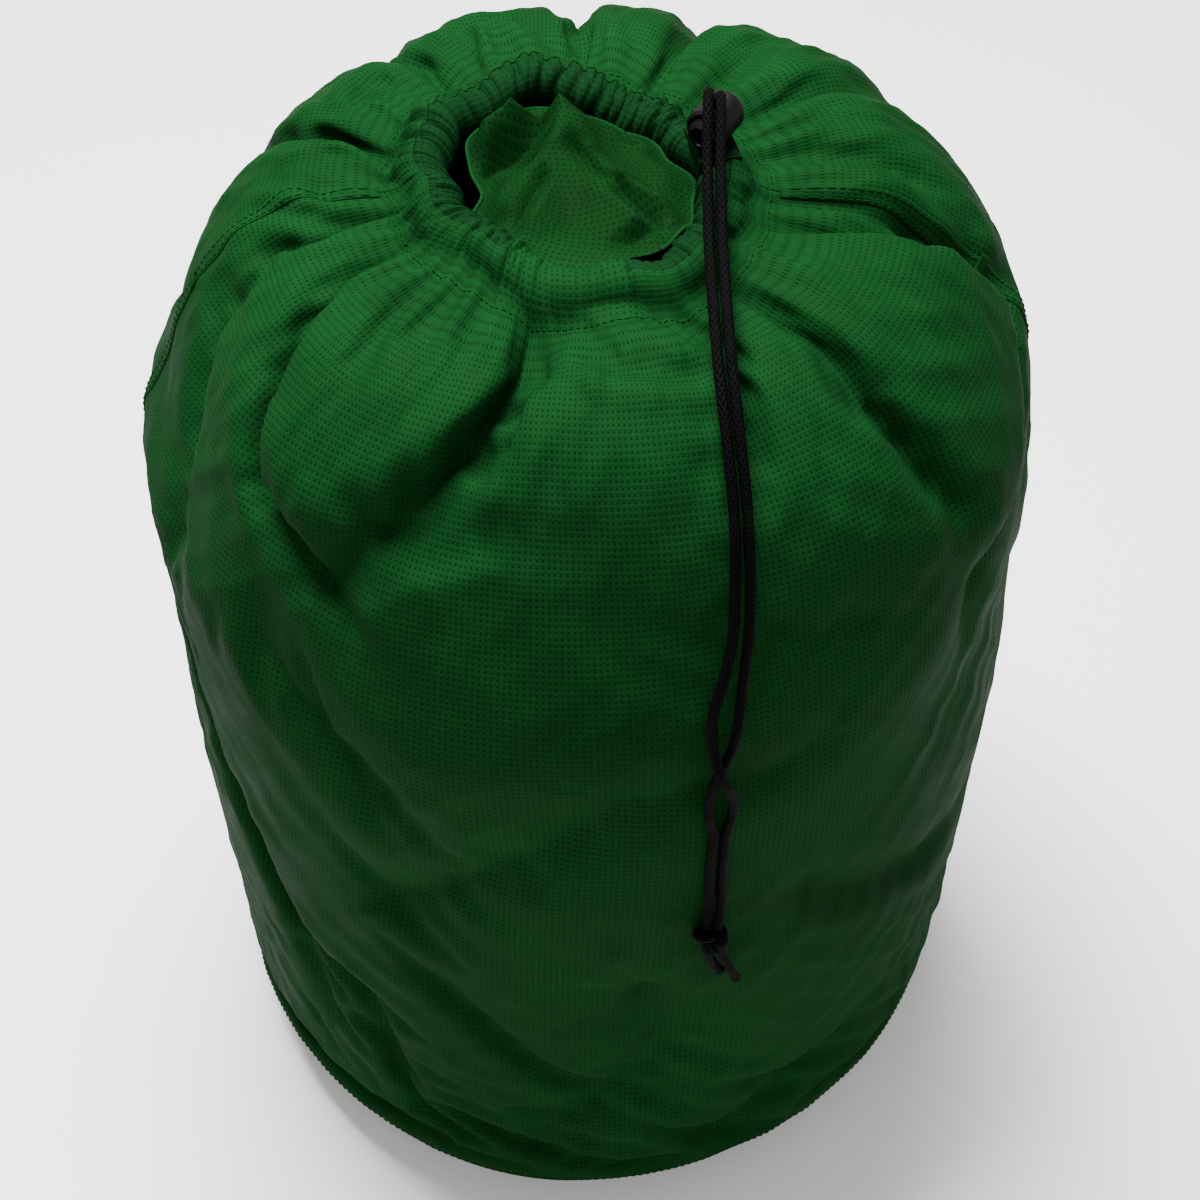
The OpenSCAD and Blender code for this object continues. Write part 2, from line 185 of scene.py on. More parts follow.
def smooth_path(points, spacing):
    """A curve through the points: between two points it is the cubic whose slope at each
    end is half the step between that point's neighbours, cut into even lengths."""
    p = np.asarray(points, float)
    p = np.concatenate([2 * p[:1] - p[1:2], p, 2 * p[-1:] - p[-2:-1]])
    t = np.linspace(0, 1, 24, endpoint=False)[None, :, None]
    a, b, c, d = (p[k:len(p) - 3 + k][:, None] for k in range(4))
    curve = 0.5 * (2 * b + (c - a) * t + (2 * a - 5 * b + 4 * c - d) * t ** 2
                   + (3 * b - a - 3 * c + d) * t ** 3)
    curve = np.concatenate([curve.reshape(-1, 3), p[-2:-1]])
    along = distances(curve)
    even = np.linspace(0, along[-1], max(8, int(round(along[-1] / spacing)) + 1))
    return np.stack([np.interp(even, along, curve[:, k]) for k in range(3)], 1)


def path_frames(path, side):
    """Two crosswise directions at each point of a path: the given side, less its part
    along the path, and the direction square to both."""
    along = unit(np.gradient(path, axis=0))
    first = unit(side - (side * along).sum(1, keepdims=True) * along)
    return first, np.cross(along, first)


def braid_size(radius, turn, steps):
    """How far a braid reaches at each place along it and round it. Two sets of eight
    strands wind round in opposite ways, and each place shows the set that is on top."""
    travel = steps[:, None] / BRAID_PITCH * 2 * np.pi
    on_top = np.maximum(np.cos(8 * turn + travel), np.cos(8 * turn - travel))
    return radius * (1 - BRAID_SWELL + BRAID_SWELL * on_top)


def cord_tube(name, path, radius, side, taper=None):
    """A braided tube: round the path at the cord's radius, plus the strands' height, and
    narrower where taper says so."""
    first, second = path_frames(path, np.asarray(side, float))
    steps = distances(path)
    turn = round_angles(CORD_SIDES)
    size = braid_size(radius, turn, steps)
    if taper is not None:
        size = size * taper[:, None]
    points = tube(path, turn, size[..., None], first, second)
    uv = uv_grid(steps, np.append(turn, 2 * np.pi) * radius)
    return grid_mesh(name, points, uv, wrap_v=True, caps=True)


# %% The two free ends
def free_end(name, route):
    """One hanging end of the cord, with its path and its length from lock to knot."""
    path = smooth_path(np.array(route) * MM, 0.8 * MM)
    cord = cord_tube(name, path, CORD_R, (1, 0, 0))
    length = distances(path)[-1]
    print(name, "is", round(length / MM), "mm long")
    return cord, path, length


cord_left, left_path, left_length = free_end("cord_left", LEFT_ROUTE)
cord_right, right_path, right_length = free_end("cord_right", RIGHT_ROUTE)

# %% [markdown]
# ## The knot and the tips
# Both ends are tied together in one overhand knot. Its line is a trefoil, the simplest
# knot that there is: it winds three times through its own middle. The two tips come out
# below it, and their cut ends are melted so that the braid can't open.

# %% Knot
def knot_line(count):
    """A trefoil that is taller than it is wide: a circle that winds twice round while it
    crosses its own middle three times."""
    t = round_angles(count)
    across = np.sin(t) + 2 * np.sin(2 * t)
    up = np.cos(t) - 2 * np.cos(2 * t)
    depth = -np.sin(3 * t)
    size = np.array([1.85, 2.9, 2.35]) * MM
    tilt = math.radians(12)
    x, z = across * size[0], up * size[2]
    return KNOT_CENTRE * MM + np.stack([x * math.cos(tilt) - z * math.sin(tilt), depth * size[1],
                                        x * math.sin(tilt) + z * math.cos(tilt)], 1)


def ring_frames(path):
    """Crosswise directions along a closed path. Each is the one before it, turned as
    little as the path allows, and what is left over is shared out so that the ends meet."""
    along = unit(np.roll(path, -1, 0) - np.roll(path, 1, 0))
    first = np.zeros_like(path)
    side = np.array([0.0, 1.0, 0.0])
    for k in range(len(path)):
        side = side - side.dot(along[k]) * along[k]
        side /= np.linalg.norm(side)
        first[k] = side
    second = np.cross(along, first)
    again = side - side.dot(along[0]) * along[0]
    gap = math.atan2(again.dot(second[0]), again.dot(first[0]))
    share = -gap * np.arange(len(path))[:, None] / len(path)
    cos, sin = np.cos(share), np.sin(share)
    return first * cos + second * sin, second * cos - first * sin


def knot_tube(name, path, radius):
    """A closed braided tube round a closed path."""
    first, second = ring_frames(path)
    steps = distances(np.concatenate([path, path[:1]]))
    turn = round_angles(20)
    size = braid_size(radius, turn, steps[:-1])
    points = tube(path, turn, size[..., None], first, second)
    uv = uv_grid(steps, np.append(turn, 2 * np.pi) * radius)
    return grid_mesh(name, points, uv, wrap_u=True, wrap_v=True)


knot = knot_tube("knot", knot_line(150), CORD_R)


# %% Tips
def tip(name, route):
    """A short end of cord that narrows to a melted, rounded end."""
    path = smooth_path(np.array(route) * MM, 0.7 * MM)
    left = np.linspace(1, 0, len(path)) * (len(path) - 1) * 0.7
    taper = np.sqrt(np.clip(left / 2.2, 0.06, 1)) * (1 + 0.12 * np.exp(-((left - 2.5) / 1.2) ** 2))
    return cord_tube(name, path, CORD_R * 0.97, (0, 1, 0), taper=taper)


tip_left = tip("tip_left", LEFT_TIP)
tip_right = tip("tip_right", RIGHT_TIP)

# %% [markdown]
# ## The wall
# Two panels of light cloth make one tube, about 1.13 m round. At the widest part the tube
# is full. Towards the mouth it has far more cloth than room, and the extra stands up in
# folds. The wall starts as a smooth shape that already has small pleats, and the cloth
# solver then lets it find its own folds, because it knows the size that the cloth was cut.

# %% The outline of the filled bag
BASE_R, BASE_EDGE_R, SEAM_ANGLE = 0.172, 0.050, math.radians(-21)
BODY_R, WIDEST_Z = 0.180, 0.317
CREST_R, SHOULDER_Z, SHOULDER_POWER = 0.0708, 0.478, 0.77
NECK_R, NECK_Z = 0.0645, 0.4745
ROWS = 112


def wall_outline(rows):
    """Radius and height up the wall: the rounded base edge, a wall that flares less and
    less, a shoulder that is part of a rounded square, and the neck. Evenly spaced."""
    a = np.linspace(SEAM_ANGLE, 0, 40)
    edge = np.stack([BASE_R - BASE_EDGE_R + BASE_EDGE_R * np.cos(a),
                     BASE_EDGE_R + BASE_EDGE_R * np.sin(a)], 1)
    u = np.linspace(0, 1, 80)[1:]
    flare = np.stack([BASE_R + (BODY_R - BASE_R) * (1 - (1 - u) ** 1.6),
                      BASE_EDGE_R + (WIDEST_Z - BASE_EDGE_R) * u], 1)
    a = np.radians(np.linspace(0, 84, 120))[1:]
    shoulder = np.stack([CREST_R + (BODY_R - CREST_R) * np.cos(a) ** SHOULDER_POWER,
                         WIDEST_Z + (SHOULDER_Z - WIDEST_Z) * np.sin(a)], 1)
    u = np.linspace(0, 1, 20)[1:, None]
    start = shoulder[-1]
    neck = np.concatenate([start[0] + (NECK_R - start[0]) * u,
                           start[1] + (NECK_Z - start[1]) * u ** 2], 1)
    line = np.concatenate([edge, flare, shoulder, neck])
    along = distances(line)
    even = np.linspace(0, along[-1], rows)
    return np.interp(even, along, line[:, 0]), np.interp(even, along, line[:, 1]), along[-1]


outline_r, outline_z, OUTLINE_L = wall_outline(ROWS)
print("the wall's outline is", round(OUTLINE_L / MM), "mm long")

# %% Helpers for folds
rng = np.random.default_rng(41)


def ease(x, low, high):
    """0 below low, 1 above high, and a smooth S between."""
    t = np.clip((x - low) / (high - low), 0, 1)
    return t * t * (3 - 2 * t)


def waves(theta, up, count, rounds, climbs):
    """A sum of count waves that meet themselves after one turn. Each has a whole number of
    crests round, from rounds, and a number of crests up the wall, from climbs."""
    total = np.zeros(np.broadcast(theta, up).shape)
    for _ in range(count):
        n = rng.integers(rounds[0], rounds[1] + 1)
        k = rng.uniform(*climbs) * rng.choice([-1, 1])
        wave = np.sin(n * theta + 2 * np.pi * k * up + rng.uniform(0, 2 * np.pi))
        total = total + wave * rng.uniform(0.6, 1)
    return total / math.sqrt(count)


def bell(x, width):
    """1 at zero, falling away smoothly on both sides."""
    return np.exp(-(x / width) ** 2)


def turn_from(theta, degrees):
    """Angles measured from a direction, from half a turn back to half a turn on."""
    return (theta - math.radians(degrees) + np.pi) % (2 * np.pi) - np.pi


def mouth_offset(theta):
    """The mouth isn't round: it is drawn out to the back left, and pinched at the back
    right, beside the lock."""
    oval = 0.0045 * np.cos(2 * (theta - math.radians(125)))
    back_left = 0.0050 * bell(turn_from(theta, 122), 0.75)
    back_right = -0.0045 * bell(turn_from(theta, 62), 0.30)
    front = 0.0020 * bell(turn_from(theta, 275), 0.5)
    return oval + back_left + back_right + front


# Where the filling pushes the cloth out or lets it sink: the angle, the height in mm, how
# far round in degrees and up in mm the change reaches, and how far out it goes, in mm
BULGES = [
    (207, 90, 55, 150, -10), (188, 330, 50, 130, -11), (8, 425, 48, 60, 14), (50, 452, 34, 45, 12),
    (118, 455, 42, 45, 2), (300, 10, 45, 60, -5), (350, 120, 40, 120, 1), (232, 440, 20, 30, 5),
    (318, 425, 22, 45, 7), (275, 380, 40, 60, -4), (262, 30, 18, 40, 2),
    (332, 394, 18, 28, 7), (336, 325, 24, 38, -5), (248, 392, 12, 18, 3)]


def filling(theta, z):
    """The sum of the bulges, in metres, at each angle and height."""
    total = np.zeros(np.broadcast(theta, z).shape)
    for angle, height, spread, tall, out in BULGES:
        round_it = bell(turn_from(theta, angle), math.radians(spread))
        total = total + out * MM * round_it * bell(z / MM - height, tall)
    return total


# %% [markdown]
# ## The rim
# The top of the cloth is folded over and sewn down as a tunnel, and the cord draws it up.
# That packs some 1.1 m of cloth into a ring about 0.35 m round, so the tunnel is crowded
# with fine pleats: round on their crests, and pinched where they meet. The wall runs up
# over the tunnel's outer side and ends on its crest.

# %% The rim's surface
RING_R, CASING_Z, CASING_R = 0.055, 0.471, 0.009
EYELET_TURN, FRONT_TURN = 14, 272


def pleats(x):
    """Rounded crests with pinched valleys, one for each turn of x, from -1 to 1."""
    return 2 * np.abs(np.sin(x / 2)) ** 0.75 - 1


def rim_ring(phi):
    """Radius of the tunnel's middle line round the mouth."""
    return RING_R + mouth_offset(phi) + 0.0012 * np.sin(7 * phi + 1) + 0.0009 * np.sin(11 * phi)


def rim_swell(phi, psi):
    """How the gathers swell and pinch the tunnel, as a share of its radius: rounded
    pleats of three sizes that lean and crowd, on a few broad puffs."""
    crowd = 1.6 * np.sin(2 * phi + 0.4) + 1.1 * np.sin(3 * phi + 2.2) + 0.7 * np.sin(7 * phi + 1.0)
    lean = 1.2 * np.sin(psi + 0.8 * np.sin(5 * phi)) + 0.5 * np.sin(2 * psi + 3 * phi)
    by_eyelet = bell(turn_from(phi, EYELET_TURN), 0.22)
    in_front = bell(turn_from(phi, FRONT_TURN), 0.42)
    quiet = 1 - 0.85 * by_eyelet - 0.65 * in_front
    strength = 0.75 + 0.25 * np.sin(4 * phi + 1.3) * np.sin(9 * phi)
    swell = (0.17 * pleats(41 * phi + crowd * 2 + lean * 1.5) * strength
             + 0.10 * pleats(67 * phi - 2.4 * crowd + 2.2 * lean)
             + 0.045 * pleats(127 * phi + 3 * crowd - 2 * lean)
             + 0.13 * np.sin(13 * phi + crowd + 2 * np.sin(psi)) + 0.07 * np.sin(5 * phi + 1))
    return swell * quiet * (0.75 + 0.25 * np.sin(psi + 0.6))


def rim_surface(phi, psi, grow):
    """Points on the drawn-up tunnel: phi goes round the mouth, and psi round the tunnel,
    from its outer side over its crest. grow lifts them off it."""
    size = CASING_R * (0.96 + rim_swell(phi, psi)) + grow
    in_front = bell(turn_from(phi, FRONT_TURN), 0.42)
    rise = 0.0024 * np.sin(3 * phi + 2.5) + 0.0016 * np.sin(8 * phi) - 0.0012
    rise = rise * (1 - bell(turn_from(phi, EYELET_TURN), 0.5)) * (1 - 0.6 * in_front)
    rise = rise - 0.0014 * in_front
    radius = rim_ring(phi) + size * np.cos(psi)
    z = CASING_Z + rise + size * np.sin(psi)
    return np.stack([radius * np.cos(phi), radius * np.sin(phi), z], -1)


# %% [markdown]
# ## How the cloth settles
# The wall is a grid of points. Links run round, up and across it, and each link knows how
# long its bit of cloth was cut. Pushing and pulling every link towards that length, again
# and again, lets the cloth choose its own folds.

# %% A cloth solver on a grid
def stretch_pass(p, du, dv, rest, push, pull):
    """Moves the two ends of every link (i, j)-(i+du, j+dv) towards its rest length, by a
    share pull where it is too long and push where it is too short. u wraps round."""
    nv = p.shape[1]
    low = max(0, -dv)
    high = nv - max(0, dv)
    a = p[:, low:high]
    b = np.roll(p, -du, axis=0)[:, low + dv:high + dv]
    gap = b - a
    size = np.sqrt((gap * gap).sum(-1, keepdims=True)) + 1e-9
    miss = (size - rest) / size
    miss = np.where(miss > 0, miss * pull, miss * push)
    step = gap * (0.5 * miss)
    move = np.zeros_like(p)
    move[:, low:high] += step
    back = np.zeros_like(p)
    back[:, low + dv:high + dv] -= step
    return move + np.roll(back, du, axis=0)


def grid_normals(p):
    """The outward way at each point, square to the lines round and up."""
    round_way = np.roll(p, -1, 0) - np.roll(p, 1, 0)
    return unit(np.cross(round_way, np.gradient(p, axis=1)))


def settle(p, base, outward, floor, ceiling, rest_u, rest_v, skew, held, rounds, gravity, blow):
    """Position-based cloth: each round moves every point on, pulls it down and blows it
    out, then lets the links round, up and across it find their lengths. The bag's filling
    is a floor that the cloth can't go under, and the air above it has a ceiling."""
    last = p.copy()
    rising = np.hypot(rest_u + skew * rest_v, rest_v)[..., None]
    falling = np.hypot(rest_u - skew * rest_v, rest_v)[..., None]
    along_u = rest_u[..., None]
    links = [(1, 0, along_u, 0.55, 0.9), (0, 1, rest_v, 0.55, 0.9),
             (1, 1, rising[:, :-1], 0.25, 0.45), (1, -1, falling[:, 1:], 0.25, 0.45),
             (2, 0, 2 * along_u, 0.12, 0.0), (0, 2, 2 * rest_v, 0.12, 0.0)]
    free = 1.0 - held[..., None]
    down = np.array([0, 0, -gravity])
    fixed = p.copy()
    for _ in range(rounds):
        speed = (p - last) * 0.93
        last = p.copy()
        p = p + free * (speed + down + blow * grid_normals(p))
        for _ in range(4):
            move = sum(stretch_pass(p, *link) for link in links)
            p = p + free * move * 0.45
            height = ((p - base) * outward).sum(-1)
            fix = np.clip(height, floor, ceiling) - height
            p = p + free * fix[..., None] * outward
        p = np.where(held[..., None] == 1, fixed, p)
    return p


# %% The filled shape, which is the solver's base
COLUMNS = 304
CUT_ROUND = 1.145
CUT_SLACK = 1.016
theta = round_angles(COLUMNS)
T, S = np.meshgrid(theta, np.linspace(0, 1, ROWS), indexing="ij")
base_r = np.broadcast_to(outline_r, T.shape)
base_z = np.broadcast_to(outline_z, T.shape)
slope = np.gradient(outline_r), np.gradient(outline_z)
out_r = np.broadcast_to(slope[1] / np.hypot(*slope), T.shape)
out_z = np.broadcast_to(-slope[0] / np.hypot(*slope), T.shape)
round_r = base_r + mouth_offset(T) * ease(S, 0.62, 0.97)
outward = np.stack([out_r * np.cos(T), out_r * np.sin(T), out_z], -1)
base = np.stack([round_r * np.cos(T), round_r * np.sin(T), base_z], -1)
base = base + outward * (filling(T, base_z) * ease(S, 1, 0.9))[..., None]
print("the filled shape has", COLUMNS, "columns and", ROWS, "rows")

# %% Folds
# Each fold is a line through places on the wall, given as an angle and a height in mm,
# then its depth and half width in mm, and how much higher its left bank stands
FOLDS = [
    ([(203, 480), (213, 455), (220, 425), (233, 408), (240, 396)], 11, 9, 5),
    ([(214, 460), (218, 432), (225, 412)], 4, 6, -3),
    ([(226, 478), (232, 450), (243, 432)], 5, 6, 3),
    ([(243, 480), (241, 462)], 4, 5, 0),
    ([(258, 481), (257, 474), (252, 461), (245, 438), (238, 418)], 16, 10, 8),
    ([(268, 481), (262, 472), (256, 455), (250, 434)], 9, 6, -5),
    ([(290, 480), (288, 468), (285, 450)], 7, 7, 4),
    ([(300, 480), (297, 472), (293, 456), (292, 436)], 12, 8, 6),
    ([(317, 480), (317, 458), (320, 424), (323, 392)], 13, 9, -8),
    ([(342, 480), (353, 462), (356, 428), (344, 404), (325, 366)], 12, 8, 9),
    ([(356, 480), (357, 450), (0, 425)], 11, 8, 5),
    ([(15, 480), (8, 462), (4, 445)], 9, 7, -4),
    ([(33, 480), (30, 440), (26, 410)], 11, 9, 5),
    ([(47, 480), (52, 452)], 9, 7, -3),
    ([(66, 480), (66, 450), (70, 420)], 13, 9, 5),
    ([(88, 480), (92, 440), (96, 400)], 11, 9, 4),
    ([(107, 480), (104, 455)], 6, 6, 0),
    ([(126, 480), (130, 440), (138, 405)], 12, 9, -5),
    ([(143, 480), (144, 455)], 5, 6, 0),
    ([(160, 480), (154, 440), (150, 400)], 11, 9, 4),
    ([(177, 480), (175, 452)], 7, 6, 0),
    ([(190, 480), (192, 446), (200, 410), (204, 370)], 10, 8, -4),
    ([(236, 401), (248, 424), (258, 434), (273, 430)], 2.5, 13, 5),
    ([(286, 424), (294, 398), (306, 386), (322, 368)], 4, 12, 8),
    ([(226, 364), (240, 330), (249, 309)], 4.5, 12, 4),
    ([(246, 255), (262, 300), (275, 334), (297, 342)], 4.5, 12, 4),
    ([(255, 378), (268, 400), (285, 408)], 3.5, 10, 4),
    ([(278, 205), (281, 160), (276, 130), (266, 98), (264, 70)], 5.5, 11, 4),
    ([(235, 160), (242, 80)], 5.0, 11, 4),
    ([(293, 62), (304, 99), (318, 120)], 5.0, 12, -4),
    ([(212, 240), (222, 180), (226, 120)], 4.5, 12, 4),
    ([(300, 250), (322, 205), (340, 190)], 3.5, 12, 3),
    ([(250, 200), (262, 150), (270, 120)], 3.0, 12, 3)]


# The last rows run level and then down into the neck, so the highest places on a fold's
# line are matched to the way up the wall
NECK_ROWS, FOLD_TOP_Z, FOLD_TOP_UP = 12, 0.481, 0.985
OVER_SHOULDER = np.append(outline_z[:-NECK_ROWS], FOLD_TOP_Z)
UP_SHOULDER = np.append(np.linspace(0, 1, ROWS)[:-NECK_ROWS], FOLD_TOP_UP)


def fold_field(folds, theta, up):
    """How far the folds press the wall in, in metres. Across its line a fold is half a
    bell and half a sharp crease, tipped so that one bank stands higher, and it fades out
    at its lower end."""
    total = np.zeros(theta.shape)
    along_l = up * OUTLINE_L
    for places, depth, width, bank in folds:
        turns = np.unwrap(np.radians([a for a, _ in places]))
        heights = np.array([z for _, z in places]) * MM
        ups = np.interp(heights, OVER_SHOULDER, UP_SHOULDER) * OUTLINE_L
        best = np.full(theta.shape, 1e9)
        side_of = np.zeros(theta.shape)
        fade = np.zeros(theta.shape)
        for k in range(len(places) - 1):
            middle_up = (ups[k] + ups[k + 1]) / 2 / OUTLINE_L
            radius = np.interp(middle_up, np.linspace(0, 1, ROWS), outline_r)
            off = (theta - turns[k] + np.pi) % (2 * np.pi) - np.pi
            x, y = off * radius, along_l - ups[k]
            run = np.array([(turns[k + 1] - turns[k]) * radius, ups[k + 1] - ups[k]])
            share = np.clip((x * run[0] + y * run[1]) / run.dot(run), 0, 1)
            dx, dy = x - share * run[0], y - share * run[1]
            gap = np.hypot(dx, dy)
            closer = gap < best
            best = np.where(closer, gap, best)
            side_of = np.where(closer, np.sign(dx * run[1] - dy * run[0]), side_of)
            fade = np.where(closer, (k + share) / (len(places) - 1), fade)
        x = best / (width * MM * (1 - 0.45 * ease(up, 0.8, 1.0)))
        profile = 0.5 * np.exp(-x ** 2) + 0.5 * np.exp(-1.9 * x)
        total += (-depth + bank * x * side_of) * MM * profile * (1 - 0.6 * ease(fade, 0.5, 1.0))
    return total


# %% The wall before the solver
PRESS = 1.75
warp = 0.35 * np.sin(3 * T + 1.1) + 0.25 * np.sin(5 * T + 4.0)
gathers = rim_swell(T + 0.02 * warp * ease(S, 0.95, 0.8), -0.3 - 2 * (1 - S))
pressed = PRESS * fold_field(FOLDS, T, S) * ease(S, 1, 0.96)
calm = 1 - 0.5 * bell(turn_from(T, 285), 0.6)
lift = (pressed + 0.016 * calm * gathers * ease(S, 0.84, 0.95)
        + 0.0014 * waves(T, S, 14, (2, 9), (1, 5)))
start = base + lift[..., None] * outward
lumps = 0.003 * waves(T, S, 10, (2, 6), (0.5, 2.5))
floor_h = (-0.004 + lumps * (1 - ease(S, 0.8, 1)) - 0.002 * ease(S, 0.7, 0.85) + np.minimum(pressed, 0)
           - 0.004 * ease(S, 0.88, 0.95))
in_fold = np.clip(np.abs(pressed) / 0.012, 0, 1)
ceiling_h = (0.003 + 0.006 * ease(S, 0.55, 0.75) - 0.006 * ease(S, 0.95, 1)) * (1 - 0.75 * in_fold) + pressed
ceiling_h = np.maximum(ceiling_h, floor_h + 0.0002)
skew = 0.07 * ease(S, 0.62, 0.5) * ease(S, 0, 0.08)


# %% Room for the cord
def cord_room(points, ways):
    """How far a point of the wall may stand out, in metres, before it touches a cord that
    lies over it. Far from the cords there is no limit."""
    cords = np.concatenate([left_path[120::3], right_path[120::3]])
    limit = np.full(points.shape[:2], 1.0)
    near = (np.abs(points[..., 0] - 0.053) < 0.016) & (points[..., 1] < -0.03)
    gap = cords - points[near][:, None]
    height = (gap * ways[near][:, None]).sum(-1)
    sideways = np.sqrt(np.maximum((gap * gap).sum(-1) - height ** 2, 0))
    room = height - 2.3 * MM + np.maximum(sideways - 2 * MM, 0) ** 2 / (5 * MM)
    limit[near] = np.where(sideways < 14 * MM, room, 1.0).min(1)
    return limit


ceiling_h = np.minimum(ceiling_h, np.maximum(cord_room(base, outward), floor_h + 0.2 * MM))

# %% The wall at rest
SETTLE_ROUNDS, GRAVITY, BLOW = 100, 0.8e-5, 0.6e-5
held = np.zeros(T.shape)
held[:, :1] = 1
held[:, -1:] = 1
cut_r = CUT_ROUND / (2 * np.pi)
round_base = np.linalg.norm(np.roll(base, -1, 0) - base, axis=-1).sum(0) / CUT_ROUND
full = np.minimum(round_base * 1.012, 1)
tucked = np.where(S < 0.62, full, 1 - 0.28 * ease(S, 0.62, 0.80) - 0.10 * ease(S, 0.88, 0.97))
wall_points = settle(start, base, outward, floor_h, ceiling_h, CUT_ROUND / COLUMNS * tucked,
                     OUTLINE_L * CUT_SLACK / (ROWS - 1), skew, held, SETTLE_ROUNDS, GRAVITY, BLOW)
moved = np.linalg.norm(wall_points - start, axis=-1)
print("moved mm: median", round(np.median(moved) / MM, 1), "largest", round(moved.max() / MM, 1))

# %% A finer wall
def resample(grid, nu, nv):
    """The grid with nu columns and nv rows: along each of the two ways, a cubic through
    the four nearest values. Columns wrap round and rows stop at the ends."""
    def cubic(values, place, wrap):
        count = len(values)
        k = np.floor(place).astype(int)
        t = (place - k).reshape(-1, *[1] * (values.ndim - 1))
        pick = [(k + d) % count if wrap else np.clip(k + d, 0, count - 1) for d in (-1, 0, 1, 2)]
        a, b, c, d = (values[p] for p in pick)
        return 0.5 * (2 * b + (c - a) * t + (2 * a - 5 * b + 4 * c - d) * t ** 2
                      + (3 * b - a - 3 * c + d) * t ** 3)
    rounds = cubic(grid, np.arange(nu) * len(grid) / nu, True)
    flipped = np.swapaxes(rounds, 0, 1)
    return np.swapaxes(cubic(flipped, np.linspace(0, flipped.shape[0] - 1, nv), False), 0, 1)


FINE_COLUMNS, FINE_ROWS = 512, 194
fine_theta = round_angles(FINE_COLUMNS)
FT, FS = np.meshgrid(fine_theta, np.linspace(0, 1, FINE_ROWS), indexing="ij")
wall = resample(wall_points, FINE_COLUMNS, FINE_ROWS)


def crumple(theta, up, count, rounds, climbs):
    """Sharp small creases in every direction: a sum of folded waves, where a folded wave
    is the bare size of a sine, so that each crest is a crease."""
    total = np.zeros(theta.shape)
    for _ in range(count):
        n = rng.integers(*rounds) * rng.choice([-1, 1])
        k = rng.uniform(*climbs)
        bend = 1.5 * np.sin(3 * theta + rng.uniform(0, 6))
        bend = bend + 1.2 * np.sin(4 * np.pi * up + rng.uniform(0, 6))
        total += 0.64 - np.abs(np.sin(0.5 * (n * theta + 2 * np.pi * k * up) + bend + rng.uniform(0, 6)))
    return total / math.sqrt(count)


normals = grid_normals(wall)
patchy = 0.5 + 0.5 * np.clip(waves(FT, FS, 8, (2, 7), (1, 4)), -1, 1)
rough = crumple(FT, FS, 8, (16, 48), (6, 22)) * (0.3 + 0.7 * patchy) * 0.0015
rough += crumple(FT, FS, 6, (50, 100), (4, 14)) * 0.0008 * ease(FS, 0.66, 0.90)
wall = wall + normals * (rough * ease(FS, 0, 0.03) * ease(FS, 1, 0.985))[..., None]
fine_base = resample(base, FINE_COLUMNS, FINE_ROWS)
fine_out = unit(resample(outward, FINE_COLUMNS, FINE_ROWS))
height = ((wall - fine_base) * fine_out).sum(-1)
over = np.maximum(height - cord_room(fine_base, fine_out), 0)
wall = wall - fine_out * over[..., None]
CREST = math.radians(74)
tunnel_side = CREST - (1 - FS) / 0.045 * math.radians(95)
on_tunnel = rim_surface(FT, np.maximum(tunnel_side, math.radians(-25)), 0.5 * MM)
wall = wall + (on_tunnel - wall) * ease(FS, 0.935, 0.975)[..., None]
wall_normals = grid_normals(wall)
WALL_UP = np.linspace(0, 1, FINE_ROWS) * OUTLINE_L * CUT_SLACK
wall_uv = uv_grid(np.append(fine_theta, 2 * np.pi) * cut_r, WALL_UP)
print("wall's highest point in mm:", round(wall[..., 2].max() / MM, 1))


def on_wall(turn, up, lift):
    """Points that lie on the wall at shares of the way round and up, lifted off it."""
    i = (np.asarray(turn) % 1) * FINE_COLUMNS
    j = np.clip(np.asarray(up), 0, 1) * (FINE_ROWS - 1)
    i0, j0 = np.floor(i).astype(int), np.minimum(np.floor(j).astype(int), FINE_ROWS - 2)
    a, b = (i - i0)[..., None], (j - j0)[..., None]
    i1, i0 = (i0 + 1) % FINE_COLUMNS, i0 % FINE_COLUMNS

    def mixed(grid):
        low = grid[i0, j0] * (1 - a) + grid[i1, j0] * a
        high = grid[i0, j0 + 1] * (1 - a) + grid[i1, j0 + 1] * a
        return low * (1 - b) + high * b
    return mixed(wall) + unit(mixed(wall_normals)) * np.asarray(lift)[..., None]


# %% Front and back panels
def thicken(obj, thickness):
    """Gives a single sheet its thickness, inwards, so that it is a closed shell."""
    solid = obj.modifiers.new("thickness", "SOLIDIFY")
    solid.thickness = thickness
    solid.offset = -1.0
    return obj


CLOTH_T = 0.35 * MM
half = FINE_COLUMNS // 2
around = np.concatenate([wall, wall[:1]])
back_cloth = thicken(grid_mesh("back_cloth", around[:half + 1], wall_uv[:half + 1]), CLOTH_T)
front_cloth = thicken(grid_mesh("front_cloth", around[half:], wall_uv[half:]), CLOTH_T)

# %% [markdown]
# ## Seams on the wall
# A felled side seam is a flat raised strip with two rows of stitches. Each strip is a
# second grid laid on the wall's own surface, so it follows every fold that the wall has.

# %% Side seams
SEAM_W = 9 * MM
SEAM_TOP = 0.955


